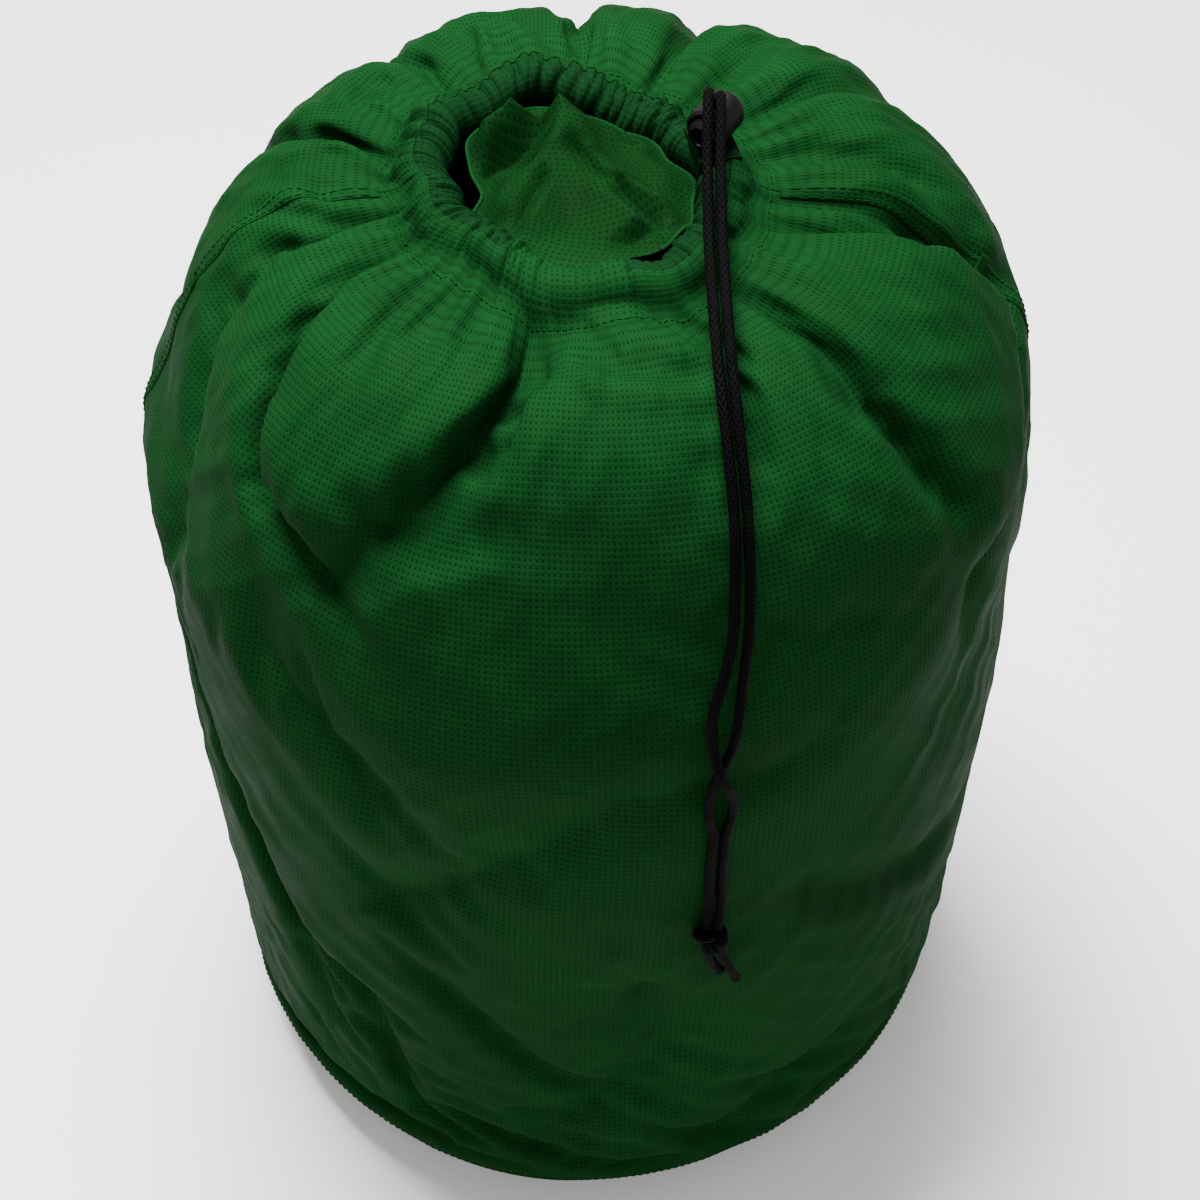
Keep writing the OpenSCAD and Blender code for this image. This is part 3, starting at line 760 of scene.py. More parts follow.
def seam_strip(name, middle_turn):
    """A raised strip up the wall, at a share of the way round, with its edges tucked in."""
    across = np.array([-1, -0.97, -0.8, -0.4, 0, 0.4, 0.8, 0.97, 1])
    height = np.array([-0.3, 0.75, 1.0, 0.95, 0.9, 0.95, 1.0, 0.75, -0.3]) * 0.6 * MM
    up = np.linspace(0.004, SEAM_TOP, 220)
    A, U = np.meshgrid(across, up, indexing="ij")
    H = np.broadcast_to(height[:, None], A.shape)
    points = on_wall(middle_turn + A * SEAM_W / 2 / CUT_ROUND, U, H)
    uv = uv_grid(across * SEAM_W / 2, up * WALL_UP[-1])
    return thicken(grid_mesh(name, points, uv), 0.5 * MM)


seam_right = seam_strip("seam_right", 0.0)
seam_left = seam_strip("seam_left", 0.5)


# %% Stitches
def stitches(name, ends_a, ends_b, outward_way, radius):
    """Many short stitches in one mesh. Each is a six-sided spindle from ends_a to ends_b
    that bulges outwards in the middle."""
    along = np.array([0.0, 0.12, 0.5, 0.88, 1.0])
    girth = np.array([0.25, 0.85, 1.0, 0.85, 0.25])
    bulge = np.array([-0.9, 0.1, 0.5, 0.1, -0.9])
    turn = round_angles(6)
    run = ends_b - ends_a
    side = unit(np.cross(run, outward_way))
    up = unit(np.cross(side, run))
    centre = (ends_a[:, None] + along[:, None] * run[:, None]
              + (bulge * radius)[:, None] * up[:, None])
    ring = (np.cos(turn)[:, None] * side[:, None] + np.sin(turn)[:, None] * up[:, None])
    points = centre[:, :, None] + radius * girth[:, None, None] * ring[:, None]
    count = len(ends_a)
    i, j = np.meshgrid(np.arange(4), np.arange(6), indexing="ij")
    i, j = i.ravel(), j.ravel()
    quads = np.stack([i * 6 + j, i * 6 + (j + 1) % 6, (i + 1) * 6 + (j + 1) % 6, (i + 1) * 6 + j], 1)
    first = (np.arange(count) * 30)[:, None, None]
    caps = np.stack([np.arange(6)[::-1], 24 + np.arange(6)])
    faces = (quads + first).reshape(-1, 4).tolist() + (caps + first).reshape(-1, 6).tolist()
    print(name, "has", count, "stitches")
    return new_object(name, points.reshape(-1, 3).tolist(), faces)


def rows_on_wall(turns, pitch, length, low, high, lift):
    """Both ends of each stitch in rows that run up the wall at the given shares round."""
    starts = np.arange(low, high, pitch)
    turn, start = (x.ravel() for x in np.meshgrid(turns, starts, indexing="ij"))
    top = WALL_UP[-1]
    lift = np.full(turn.shape, lift)
    a, b = on_wall(turn, start / top, lift), on_wall(turn, (start + length) / top, lift)
    return a, b, unit(on_wall(turn, (start + length / 2) / top, lift + MM) - (a + b) / 2)


row_off = 0.3 * SEAM_W / CUT_ROUND
seam_rows = [-row_off, row_off, 0.5 - row_off, 0.5 + row_off]
side_stitches = stitches("side_stitches", *rows_on_wall(
    seam_rows, 3.1 * MM, 2.4 * MM, 0.006, SEAM_TOP * WALL_UP[-1] - 0.003, 0.65 * MM), 0.28 * MM)


def row_round(up, pitch, length, lift):
    """Both ends of each stitch in a row that runs round the wall at one share up."""
    rim = on_wall(fine_theta / (2 * np.pi), np.full(FINE_COLUMNS, up), np.full(FINE_COLUMNS, lift))
    around = distances(np.concatenate([rim, rim[:1]]))[-1]
    count = int(around / pitch)
    start = np.arange(count) / count
    lift = np.full(count, lift)
    a = on_wall(start, np.full(count, up), lift)
    b = on_wall(start + length / pitch / count, np.full(count, up), lift)
    mid = on_wall(start + 0.5 * length / pitch / count, np.full(count, up), lift + MM)
    return a, b, unit(mid - (a + b) / 2)


base_stitches = stitches("base_stitches", *row_round(0.014, 3.4 * MM, 2.6 * MM, 0.15 * MM), 0.32 * MM)
casing_stitches = stitches("casing_stitches", *row_round(0.958, 2.6 * MM, 2.0 * MM, 0.1 * MM), 0.26 * MM)

# %% Bar tacks, high on each side seam
TACK_UP, TACK_W, TACK_L, TACK_STITCHES = 0.80, 3.4 * MM, 12 * MM, 26
tack_step = np.arange(TACK_STITCHES) / TACK_STITCHES - 0.5
tack_up = TACK_UP + tack_step * TACK_W / WALL_UP[-1]
tack_lift = np.full(TACK_STITCHES, 1.35 * MM)
tack_ends = [on_wall(seam + sign * (0.5 * TACK_L / CUT_ROUND) * np.ones(TACK_STITCHES), tack_up,
                     tack_lift) for seam in (0, 0.5) for sign in (-1, 1)]
tack_a = np.concatenate([tack_ends[0], tack_ends[2]])
tack_b = np.concatenate([tack_ends[1], tack_ends[3]])
tack_out = unit((tack_a + tack_b) / 2 * np.array([1, 1, 0]))
bar_tacks = stitches("bar_tacks", tack_a, tack_b, tack_out, 0.42 * MM)

# %% [markdown]
# ## The base and its seam
# The base is a round disc of the same cloth. Its edge turns up to the seam with the wall,
# where both are bound with tape inside. Its underside is flat, with the few shallow
# puckers that the seam pulls into it.

# %% Base
BASE_COLUMNS = 240


def base_surface(inner):
    """A dish: a flat disc whose edge turns up along a quarter-round, from the middle out.
    Small radial puckers grow towards the seam. inner is how far it lies inside."""
    a = np.linspace(-math.pi / 2, SEAM_ANGLE, 18)
    flat = np.linspace(0, BASE_R - BASE_EDGE_R, 26)[:-1]
    r = np.concatenate([flat, BASE_R - BASE_EDGE_R + (BASE_EDGE_R - inner) * np.cos(a)])
    z = np.concatenate([np.full(len(flat), inner), BASE_EDGE_R + (BASE_EDGE_R - inner) * np.sin(a)])
    turn, radius = np.meshgrid(round_angles(BASE_COLUMNS), r, indexing="ij")
    height = np.broadcast_to(z, turn.shape)
    up = ease(radius, 0.08, 0.165)
    pucker = 0.0006 * up * (np.sin(37 * turn) + np.sin(61 * turn + 2)) * ease(height, 0.001, 0.01)
    out = radius + pucker + filling(turn, height) * ease(radius, 0.03, 0.16)
    return np.stack([out * np.cos(turn), out * np.sin(turn), height], -1), r


base_points, base_radius = base_surface(0.3 * MM)
round_base_uv = np.append(round_angles(BASE_COLUMNS), 2 * np.pi) * BASE_R
base_uv = uv_grid(round_base_uv, base_radius)
base_cloth = thicken(grid_mesh("base_cloth", base_points[:, 1:], base_uv[:, 1:], wrap_u=True,
                               plug=True), CLOTH_T)

# %% Binding of the base seam, inside
def binding_ring(phi, place):
    """A flat tape, 9 mm high and 1.4 mm thick, just inside the seam. place goes round its
    section."""
    inside = BASE_R - BASE_EDGE_R * (1 - math.cos(SEAM_ANGLE)) - 2.6 * MM
    radius = inside + filling(phi, outline_z[0]) + 0.7 * MM * np.cos(place)
    rise = outline_z[0] + 4.5 * MM * np.sin(place)
    return np.stack([radius * np.cos(phi), radius * np.sin(phi), rise], -1)


tape_grid = np.meshgrid(round_angles(BASE_COLUMNS), round_angles(12), indexing="ij")
binding_tape = grid_mesh("binding_tape", binding_ring(*tape_grid),
                         uv_grid(round_base_uv, np.linspace(0, 0.02, 13)),
                         wrap_u=True, wrap_v=True)

# %% Casing
CASING_U, CASING_V = 1080, 40
phi = round_angles(CASING_U)
psi = round_angles(CASING_V)
casing_points = rim_surface(*np.meshgrid(phi, psi, indexing="ij"), 0.0)
casing_uv = uv_grid(np.append(phi, 2 * np.pi) * cut_r, np.append(psi, 2 * np.pi) * CASING_R)
casing_cloth = grid_mesh("casing_cloth", casing_points, casing_uv, wrap_u=True, wrap_v=True)
print("casing reaches", round(casing_points[..., 2].max() / MM, 1), "mm")

# %% The hidden part of the cord, which runs round inside the tunnel
LOOP_STEPS = 500
loop_phi = np.linspace(math.radians(20), math.radians(368), LOOP_STEPS)
loop_side = np.stack([np.cos(loop_phi), np.sin(loop_phi), 0 * loop_phi], 1)
loop_path = (rim_ring(loop_phi) - 0.0015)[:, None] * loop_side + [0, 0, CASING_Z - 0.001]
loop_turn = round_angles(12)
loop_points = tube(loop_path, loop_turn, CORD_R, loop_side, np.tile([0, 0, 1.0], (LOOP_STEPS, 1)))
loop_uv = uv_grid(distances(loop_path), np.append(loop_turn, 2 * np.pi) * CORD_R)
hidden_cord = grid_mesh("hidden_cord", loop_points, loop_uv, wrap_v=True, caps=True)

# %% [markdown]
# ## The cover flap
# A flap of the smoother lining is sewn along the front of the rim. It runs over the rim,
# lies on the laundry in the mouth and is creased from being tucked in: a peak near its
# middle, with sharp creases that run down from it to the front rim.

# %% The flap's outline
FLAP_MIDDLE, FLAP_SPREAD = math.radians(267), math.radians(21)
FAR_TIP = math.radians(104)


def flap_limit(angle):
    """How far from the middle of the mouth the flap reaches, in mm: near the rim all
    round, but short of it at the left, where a dark gap shows."""
    clear = (rim_ring(angle) - CASING_R * 1.17) / MM
    return clear - 9.0 * bell(turn_from(angle, 172), 0.42) - 2.0 * bell(turn_from(angle, 104), 0.3)


def flap_side(start, v):
    """The flap's edge from the rim at the angle start to its far tip, in mm."""
    angle = start + (FAR_TIP - start) * v ** 0.85
    reach = flap_limit(angle)
    return np.stack([reach * np.cos(angle), reach * np.sin(angle)], -1)


def crease(x, y, ends, height, width):
    """A sharp ridge, or a groove where height is below 0, along the line between two
    points. It is a tent across the line and fades at its ends."""
    a, b = np.array(ends[0], float), np.array(ends[1], float)
    run = b - a
    along = ((x - a[0]) * run[0] + (y - a[1]) * run[1]) / run.dot(run)
    nearest = np.clip(along, 0, 1)
    off = np.hypot(x - a[0] - nearest * run[0], y - a[1] - nearest * run[1])
    tent = np.clip(1 - off / width, 0, 1)
    return height * tent ** 1.4


# Each crease: its two ends, how high it stands and how far it reaches sideways, all in mm
CREASES = [
    ((-5.7, 17), (-21, -36), 8.0, 17), ((-5.7, 17), (22, -30), 8.0, 18), ((-5.7, 17), (-21, 8), -8.0, 9),
    ((-13, -8), (-23, -36), -8.0, 6), ((2, 6), (30, -28), -7.5, 8), ((-5.7, 17), (22, 28), 7.0, 15),
    ((5, 8), (16, -7), 4.0, 7), ((16, -7), (41, -26), 6.0, 9), ((16, -40), (28, -32), -7.0, 6),
    ((28, -32), (38, -24), 5.0, 7), ((-44, 8), (-35, 23), 7.0, 10), ((-35, 23), (-24, 29), 8.0, 11),
    ((-24, 29), (-6, 28), 7.0, 10), ((-6, 28), (9, 33), 5.0, 8), ((-33, 10), (-12, 24), -8.5, 8),
    ((-30, 42), (0, 44), 4.0, 9), ((-36, -12), (-30, 4), -5.0, 9), ((4, 36), (22, 22), -6.0, 6)]


def flap_height(x, y):
    """Height in mm inside the rim: level with the tunnel's inner side near the seam, then
    a low dome on the laundry, with the creases, and down again at the edge."""
    dome = 473.6 + 2.2 * np.exp(-((x + 4) / 30) ** 2 - ((y - 4) / 28) ** 2)
    height = dome + 0 * x
    share = np.hypot(x, y) / flap_limit(np.arctan2(y, x))
    inside = ease(y, -44, -32) * (1 - 0.75 * ease(share, 0.75, 1.0))
    for start, end, rise, width in CREASES:
        height = height + crease(x, y, (start, end), rise, width) * inside
    return height - 5.0 * ease(share, 0.72, 1.0) * ease(y, -34, -20)


# %% Flap
FLAP_U, WALL_V, RIM_V, MOUTH_V = 120, 26, 34, 130
side = np.linspace(-1, 1, FLAP_U)
spread = FLAP_MIDDLE + FLAP_SPREAD * side[:, None]
seam_lift = ease(np.arange(WALL_V), 0, 8) * 0.9 * MM - 0.1 * MM
wall_part = on_wall(*np.broadcast_arrays(spread / (2 * np.pi), np.linspace(0.955, 0.999, WALL_V)),
                    np.broadcast_to(seam_lift, (FLAP_U, WALL_V)))
over = np.linspace(CREST + 0.06, math.radians(163), RIM_V)
rim_part = rim_surface(*np.broadcast_arrays(spread, over), 1.1 * MM)
v = np.linspace(0.012, 0.992, MOUTH_V)
left_edge = flap_side(FLAP_MIDDLE - FLAP_SPREAD, v)
right_edge = flap_side(FLAP_MIDDLE + FLAP_SPREAD - 2 * np.pi, v)
share = (side[:, None] + 1) / 2
mouth_xy = left_edge * (1 - share[..., None]) + right_edge * share[..., None]
bow = flap_limit(FLAP_MIDDLE) * (1 - math.cos(FLAP_SPREAD)) * (1 - side[:, None] ** 2) * ease(v, 0.2, 0)
mouth_y = mouth_xy[..., 1] - bow
mouth_part = np.stack([mouth_xy[..., 0], mouth_y, flap_height(mouth_xy[..., 0], mouth_y)], -1) * MM
flap_grid = np.concatenate([wall_part, rim_part, mouth_part], 1)
inner_rows = np.arange(1, flap_grid.shape[1] - 1)
soft = np.maximum(bell(inner_rows - WALL_V - RIM_V, 7), bell(inner_rows - WALL_V, 3))[:, None]
for _ in range(5):
    middle_rows = (flap_grid[:, :-2] + 2 * flap_grid[:, 1:-1] + flap_grid[:, 2:]) / 4
    flap_grid[:, 1:-1] += (middle_rows - flap_grid[:, 1:-1]) * soft
middle_line = flap_grid[FLAP_U // 2]
flap_run = distances(middle_line)
steps = np.linalg.norm(np.diff(flap_grid, axis=0), axis=-1)
flap_across = np.concatenate([0 * steps[:1], np.cumsum(steps, axis=0)]) - steps.sum(0) / 2
flap_uv = np.stack([flap_across, np.broadcast_to(flap_run, flap_across.shape)], -1)
FLAP_CUT = (2 * flap_across.max(), flap_run[-1])
flap_area = (2 * flap_across[-1, :-1] * np.diff(flap_run)).sum()
print("flap is", [round(x / MM) for x in FLAP_CUT], "mm, and", round(flap_area * 1e4), "square cm")
flap_cloth = thicken(grid_mesh("flap_cloth", flap_grid, flap_uv), 0.4 * MM)

# %% Rolled hem and stitches of the flap
hem_from = WALL_V + RIM_V + 8
hem_line = np.concatenate([flap_grid[0, hem_from:], flap_grid[-1, hem_from:][::-1]])
hem_line = smooth_path(hem_line[::3], 1.0 * MM)
hem_turn = round_angles(10)
hem_points = tube(hem_line, hem_turn, 0.8 * MM, *path_frames(hem_line, np.array([0, 0, 1.0])))
hem_uv = uv_grid(np.arange(len(hem_line)) * MM, np.append(hem_turn, 2 * np.pi) * MM)
flap_hem = grid_mesh("flap_hem_roll", hem_points, hem_uv, wrap_v=True, caps=True)
row_at = np.arange(6, FLAP_U - 10, 7)
row_of = WALL_V + RIM_V - 6
flap_stitches = stitches("flap_stitches", flap_grid[row_at, row_of] + [0, 0, 0.0002],
                         flap_grid[row_at + 5, row_of] + [0, 0, 0.0002],
                         np.broadcast_to([0.0, 0.5, 0.8], (len(row_at), 3)), 0.26 * MM)

# %% [markdown]
# ## Finishes
# Each finish is worked out from the piece's own place or from its cloth's cut size, so it
# looks the same from every side. Sums on values are written as plain expressions: a small
# class wraps a value on its way through the nodes and adds the Math nodes itself.

# %% Shader sums
class Wire:
    """A value, a vector or a colour on its way through a material."""

    def __init__(self, finish, socket):
        self.finish, self.socket = finish, socket

    def sum(self, operation, *others):
        """The outcome of one Math node on this value and the others."""
        node = self.finish.add("ShaderNodeMath", {"operation": operation},
                               dict(enumerate([self, *others])))
        return node["Value"]

    def __add__(self, other):
        return self.sum("ADD", other)

    def __mul__(self, other):
        return self.sum("MULTIPLY", other)

    def __sub__(self, other):
        return self.sum("SUBTRACT", other)


class Finish:
    """A material on the Principled shader. Its constants are set on the shader itself."""

    def __init__(self, name, **constants):
        self.material = bpy.data.materials.new(name)
        self.material.use_nodes = True
        self.tree = self.material.node_tree
        self.shader = self.tree.nodes["Principled BSDF"]
        for key, value in constants.items():
            self.shader.inputs[key.replace("_", " ")].default_value = value

    def add(self, kind, settings=None, values=None):
        """A node of any kind: its settings first, then the values or links of its sockets."""
        node = self.tree.nodes.new(kind)
        for key, value in (settings or {}).items():
            if key == "stops":
                while len(node.color_ramp.elements) < len(value):
                    node.color_ramp.elements.new(0.5)
                for element, (place, colour) in zip(node.color_ramp.elements, value):
                    element.position, element.color = place, colour
            else:
                setattr(node, key, value)
        for key, value in (values or {}).items():
            if isinstance(value, Wire):
                self.tree.links.new(value.socket, node.inputs[key])
            else:
                node.inputs[key].default_value = value
        return {out.name: Wire(self, out) for out in node.outputs if out.enabled}

    def feed(self, name, wire):
        """Joins a value to one of the shader's own inputs."""
        self.tree.links.new(wire.socket, self.shader.inputs[name])

    def mix(self, share, a, b, blend="MIX"):
        """Colour a with a share of colour b over it."""
        node = self.tree.nodes.new("ShaderNodeMix")
        node.data_type = "RGBA"
        node.blend_type = blend
        for index, value in ((0, share), (6, a), (7, b)):
            if isinstance(value, Wire):
                self.tree.links.new(value.socket, node.inputs[index])
            else:
                node.inputs[index].default_value = value
        return Wire(self, node.outputs[2])

    def noise(self, scale, detail=3.0, roughness=0.55):
        """Cloudy values from 0 to 1 that stay with the piece."""
        place = self.add("ShaderNodeTexCoord")["Object"]
        return self.add("ShaderNodeTexNoise", None, {"Vector": place, "Scale": scale,
                                                     "Detail": detail, "Roughness": roughness})["Fac"]

    def cut(self):
        """Places on the cloth or the cord as it was cut, in metres."""
        places = self.add("ShaderNodeUVMap", {"uv_map": "cut"})["UV"]
        return self.add("ShaderNodeSeparateXYZ", None, {"Vector": places})

    def grid(self, pitch):
        """Two waves of the cloth's own two ways, each from -1 to 1, one turn per pitch."""
        split = self.cut()
        return [(split[axis] * (2 * math.pi / pitch)).sum("COSINE") for axis in ("X", "Y")]

    def bump(self, height, depth):
        """Fine relief from a height, where 1 stands for the given depth in metres."""
        normal = self.add("ShaderNodeBump", None, {"Height": height, "Distance": depth})["Normal"]
        self.feed("Normal", normal)

    def range(self, wire, low, high, to_low=0.0, to_high=1.0):
        """A value carried smoothly from one range into another."""
        return self.add("ShaderNodeMapRange", {"interpolation_type": "SMOOTHSTEP"},
                        {"Value": wire, "From Min": low, "From Max": high,
                         "To Min": to_low, "To Max": to_high})["Result"]


def rgb(red, green, blue):
    """A colour as a screen shows it, from 0 to 255, turned into amounts of light."""
    return tuple(((c / 255 + 0.055) / 1.055) ** 2.4 if c > 10 else c / 255 / 12.92
                 for c in (red, green, blue)) + (1.0,)


# %% [markdown]
# ## Cloth
# The cloth is a light nylon with a small raised grid: thicker threads every 2.4 mm both
# ways, and between them little pillows. The grid follows the cut of the cloth through
# every fold. The crossings of two thick threads lie lowest in the relief, and they are
# painted the darkest points: painted shade in the pits.

# %% Cloth finishes
GRID_PITCH = 2.4 * MM


def darker(colour, share):
    """A colour with only a share of its light."""
    return tuple(c * share for c in colour[:3]) + (1.0,)


def cloth_finish(name, deep, light, glow, grid_depth, grain=1.0, shade_from=None):
    """Light nylon with a raised grid. glow is the tint of its sheen, and shade_from is how
    far up its cut, in metres, it begins to lie in shade."""
    finish = Finish(name, Sheen_Weight=0.002, Sheen_Roughness=0.45,
                    Sheen_Tint=glow, Specular_IOR_Level=0.006)
    across, along = finish.grid(GRID_PITCH)
    pillow = (across + along) * 0.25 + 0.5
    # The thread crossings are the pits of the relief; they get painted shade below
    crossing_shade = finish.range(pillow, 0.64, 0.97)
    thread = finish.range(across.sum("MAXIMUM", along), 0.55, 1.0)
    broad = finish.noise(7.0, 4.0)
    blotch = finish.noise(38.0, 5.0, 0.65)
    fine = finish.noise(900.0, 2.0, 0.7)
    tone = finish.range(broad * 0.6 + blotch * 0.4, 0.30, 0.72)
    colour = finish.mix(tone, deep, light)
    colour = finish.mix(thread * (0.16 * grain), colour, light)
    # Painted shade: the crossings are darkened towards a quarter of the deep green
    colour = finish.mix(crossing_shade * (0.72 * grain), colour, darker(deep, 0.25))
    colour = finish.mix(finish.range(fine, 0.35, 0.75) * 0.22, colour, darker(deep, 0.5))
    if shade_from is not None:
        shade = finish.range(finish.cut()["Y"], shade_from, shade_from + 0.03)
        shaded = finish.mix(1.0, colour, (0.62, 0.60, 0.50, 1), "MULTIPLY")
        colour = finish.mix(shade, colour, shaded)
    finish.feed("Base Color", colour)
    finish.feed("Roughness", finish.range(blotch, 0.3, 0.7, 0.55, 0.72))
    height = pillow * (-0.9 * grid_depth) + thread * (0.25 * grid_depth) + blotch * 0.35 + fine * 0.12
    finish.bump(height, 0.0006)
    return finish.material


GREEN_DEEP, GREEN_LIGHT = rgb(7, 37, 12), rgb(13, 50, 20)
GLOW = (0.45, 0.95, 0.65, 1)
cloth = cloth_finish("green_cloth", GREEN_DEEP, GREEN_LIGHT, GLOW, 0.32)
gathered = cloth_finish("gathered_cloth", rgb(6, 32, 11), rgb(11, 42, 18), (0.45, 0.95, 0.70, 1), 0.4, 0.7)
lining = cloth_finish("lining_cloth", GREEN_DEEP, GREEN_LIGHT, GLOW, 0.3, 0.9, shade_from=0.025)
base_finish = cloth_finish("base_cloth", rgb(3, 30, 5), rgb(6, 40, 9), GLOW, 0.5)


# %% Tape and thread
def woven_finish(name, deep, light, pitch, depth):
    """A close plain weave on Object places: short raised bars that alternate."""
    finish = Finish(name, Roughness=0.75, Specular_IOR_Level=0.02)
    on_piece = finish.add("ShaderNodeTexCoord")["Object"]
    place = finish.add("ShaderNodeSeparateXYZ", None, {"Vector": on_piece})
    bars = ((place["X"] + place["Y"]) * (2 * math.pi / pitch)).sum("SINE")
    rungs = ((place["Z"] + place["Y"] * 0.5) * (2 * math.pi / pitch)).sum("SINE")
    weave = bars * rungs * 0.5 + 0.5
    grime = finish.noise(60.0, 4.0)
    finish.feed("Base Color", finish.mix(weave * 0.6 + grime * 0.3, deep, light))
    finish.feed("Roughness", finish.range(grime, 0.3, 0.7, 0.62, 0.8))
    finish.bump(weave + finish.noise(1400.0) * 0.4, depth)
    return finish.material


tape = woven_finish("binding_tape", rgb(2, 18, 4), rgb(5, 32, 9), 1.1 * MM, 0.00025)
thread = woven_finish("green_thread", rgb(3, 28, 6), rgb(9, 52, 14), 0.35 * MM, 0.00008)


# %% [markdown]
# ## Cord
# Black polyester braid. The strands are in the mesh already. The finish adds the fine
# threads that run along each strand, a little fluff, and the grey that wear leaves on the
# tops of the strands.

# %% Cord finish
def cord_finish():
    """Black braid: strands as in the mesh, with fluff between them and worn grey tops."""
    finish = Finish("black_cord", Specular_IOR_Level=0.03)
    cut = finish.cut()
    turn = cut["Y"] * (8 / CORD_R)
    travel = cut["X"] * (2 * math.pi / BRAID_PITCH)
    strand = (turn + travel).sum("COSINE").sum("MAXIMUM", (turn - travel).sum("COSINE"))
    fluff = finish.noise(1600.0, 3.0)
    worn = finish.noise(90.0, 4.0)
    top = finish.range(strand * 0.5 + fluff * 0.4, 0.35, 0.95)
    colour = finish.mix(top, rgb(1, 1, 1), rgb(5, 6, 5))
    finish.feed("Base Color", finish.mix(finish.range(worn, 0.5, 0.8) * 0.35, colour, rgb(14, 15, 13)))
    finish.feed("Roughness", finish.range(worn, 0.2, 0.8, 0.6, 0.85))
    finish.bump(strand * 0.6 + fluff * 0.5, 0.0003)
    return finish.material


cord_black = cord_finish()


# %% [markdown]
# ## Lock, button, eyelet and spring
# The barrel is moulded with a fine spark-eroded grain. The button is the same plastic, but
# polished by thumbs. The eyelet is lacquered brass, whose lacquer has rubbed thin along
# its edge.

# %% Plastic and metal finishes
def moulded_finish(name, dark, pale, rough, grain):
    """Moulded plastic with a fine grain, and scuffs that are paler and duller."""
    finish = Finish(name, Specular_IOR_Level=0.12)
    speck = finish.noise(2600.0, 2.0)
    scuff = finish.noise(240.0, 6.0, 0.7)
    finish.feed("Base Color", finish.mix(finish.range(scuff, 0.45, 0.8), dark, pale))
    finish.feed("Roughness", finish.range(scuff, 0.3, 0.7, rough - 0.08, rough + 0.12))
    finish.bump(speck + scuff * 0.3, grain)
    return finish.material


barrel_plastic = moulded_finish("barrel_plastic", rgb(3, 3, 3), rgb(11, 11, 11), 0.5, 0.00012)
button_plastic = moulded_finish("button_plastic", rgb(4, 4, 4), rgb(14, 13, 13), 0.32, 0.00004)


def metal_finish(name, base, worn, rough, metal):
    """Metal with fine scratches where the worn colour shows."""
    finish = Finish(name, Metallic=metal)
    scratch = finish.noise(500.0, 6.0, 0.75)
    finish.feed("Base Color", finish.mix(finish.range(scratch, 0.55, 0.8), base, worn))
    finish.feed("Roughness", finish.range(scratch, 0.3, 0.8, rough, rough + 0.2))
    finish.bump(scratch, 0.00005)
    return finish.material


eyelet_metal = metal_finish("lacquered_brass", rgb(8, 8, 8), rgb(50, 43, 30), 0.28, 0.6)
spring_steel = metal_finish("spring_steel", rgb(150, 150, 152), rgb(190, 190, 192), 0.25, 1.0)

# %% [markdown]
# ## Which piece moves with which body
# The cloth and the lock are one body. The button slides in the lock, the free cord slides
# up out of it, and the flap turns about its seam. The free cords start inside the lock. The
# two free cords and the flap's cloth ride on no body here.

# %% Finishes, rides and replacements, with a slot name listed for each piece
BAG, FLAP, ENDS = "bag", "cover_flap", "drawcord_ends"
pieces = [
    (front_cloth, cloth, "cloth", BAG, ["front_panel"]),
    (back_cloth, cloth, "cloth", BAG, ["back_panel"]),
    (base_cloth, base_finish, "cloth", BAG, ["base_panel"]),
    (seam_left, cloth, "cloth", BAG, ["side_seam_left"]),
    (seam_right, cloth, "cloth", BAG, ["side_seam_right"]),
    (side_stitches, thread, "thread", BAG, ["side_stitching"]),
    (base_stitches, thread, "thread", BAG, ["base_stitching"]),
    (casing_stitches, thread, "thread", BAG, ["casing_stitching"]),
    (bar_tacks, thread, "thread", BAG, ["seam_bartacks"]),
    (casing_cloth, gathered, "cloth", BAG, ["casing"]),
    (binding_tape, tape, "binding", BAG, ["base_binding"]),
    (hidden_cord, cord_black, "cord", BAG, ["drawcord_loop"]),
    (tip_left, cord_black, "cord", ENDS, ["cord_tips"]),
    (tip_right, cord_black, "cord", ENDS, []),
    (knot, cord_black, "cord", ENDS, ["drawcord_knot"]),
    (flap_hem, lining, "flap_cloth", FLAP, ["flap_hem"]),
    (flap_stitches, thread, "thread", FLAP, ["flap_stitching"]),
    (cord_left, cord_black, "cord", None, ["drawcord_left"]),
    (cord_right, cord_black, "cord", None, ["drawcord_right"]),
    (flap_cloth, lining, "flap_cloth", None, ["cover_flap"]),
]
for piece, finish, slot_name, body, replaced in pieces:
    piece.data.materials.append(finish)
    if body:
        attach(piece, body)
    if replaced:
        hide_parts(*replaced)

# Each free cord, and then the flap's cloth, has its place baked into its points
for cord, exit_y in ((cord_left, 0.0137), (cord_right, 0.0115)):
    exit_y - 0.0071
    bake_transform(cord)
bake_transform(flap_cloth)

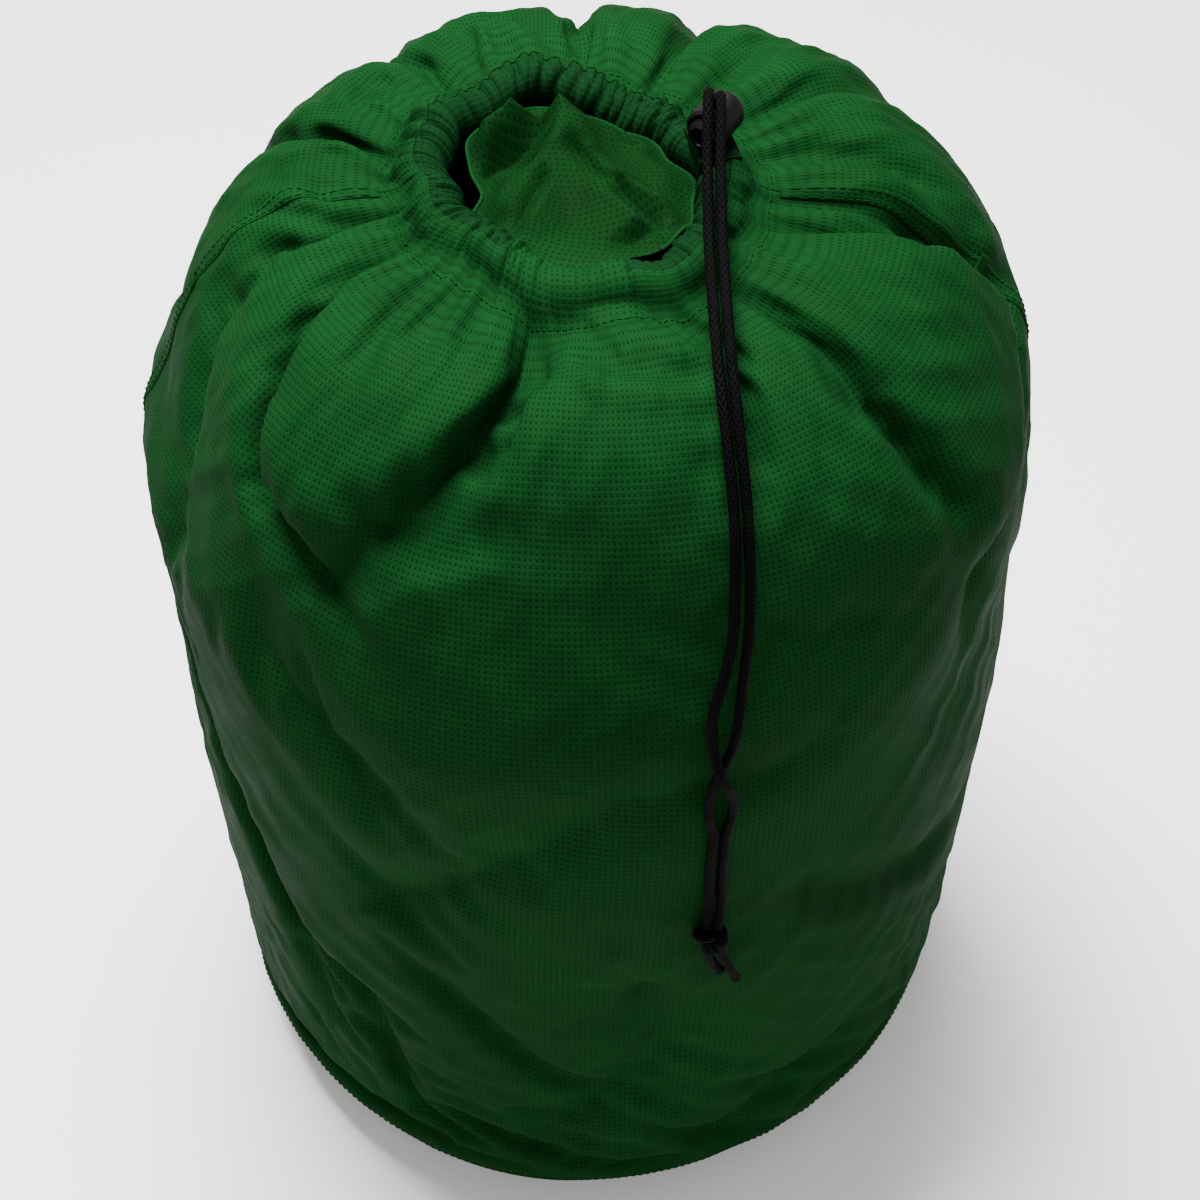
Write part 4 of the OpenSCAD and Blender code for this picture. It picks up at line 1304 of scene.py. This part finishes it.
# %% Finishes of the CAD pieces that show
node_finishes = {"eyelet_patch": tape, "eyelet": eyelet_metal,
                 "eyelet_washer": eyelet_metal, "lock_body": barrel_plastic,
                 "lock_spring": spring_steel, "lock_button": button_plastic}
for node_name, finish in node_finishes.items():
    NODES[node_name].data.materials.clear()
    NODES[node_name].data.materials.append(finish)

# %% [markdown]
# ## Facts of the cords and the cloth
# Each free cord end is as long as it shows from the lock to the knot. These lengths and
# the flap's cut size are worked out above and printed.

# %% [markdown]
# ## Floor and light
# A plain pale floor under soft light from above and a little behind. The top of the bag
# and its folds catch it, and the front wall below the shoulder stays in its own shade.

# %% Floor
FLOOR, FLOOR_Z = 6.0, -0.0006
corners = [(-FLOOR, -FLOOR, FLOOR_Z), (FLOOR, -FLOOR, FLOOR_Z),
           (FLOOR, FLOOR, FLOOR_Z), (-FLOOR, FLOOR, FLOOR_Z)]
floor = new_object("floor", corners, [(0, 1, 2, 3)])
floor_finish = Finish("pale_floor", Roughness=0.85, Specular_IOR_Level=0.2)
floor_tone = floor_finish.mix(floor_finish.noise(3.0), (0.90, 0.90, 0.89, 1), (0.93, 0.93, 0.92, 1))
floor_finish.feed("Base Color", floor_tone)
floor.data.materials.append(floor_finish.material)


# %% Lights
def panel_light(name, place, target, size, power):
    """A soft square light at a place, turned towards a target."""
    light = bpy.data.lights.new(name, "AREA")
    light.energy, light.size = power, size
    lamp = bpy.data.objects.new(name, light)
    lamp.location = place
    away = Vector(place) - Vector(target)
    lamp.rotation_euler = away.to_track_quat("Z", "Y").to_euler()
    scene.collection.objects.link(lamp)
    return lamp


panel_light("top", (-0.22, 0.32, 1.9), (0, 0.05, 0.35), 0.8, 140)
panel_light("front_fill", (0.3, -1.9, 1.7), (0, 0, 0.3), 1.6, 16)
world = bpy.data.worlds.new("studio")
world.use_nodes = True
world.node_tree.nodes["Background"].inputs["Color"].default_value = (1, 1, 1, 1)
world.node_tree.nodes["Background"].inputs["Strength"].default_value = 0.65
scene.world = world
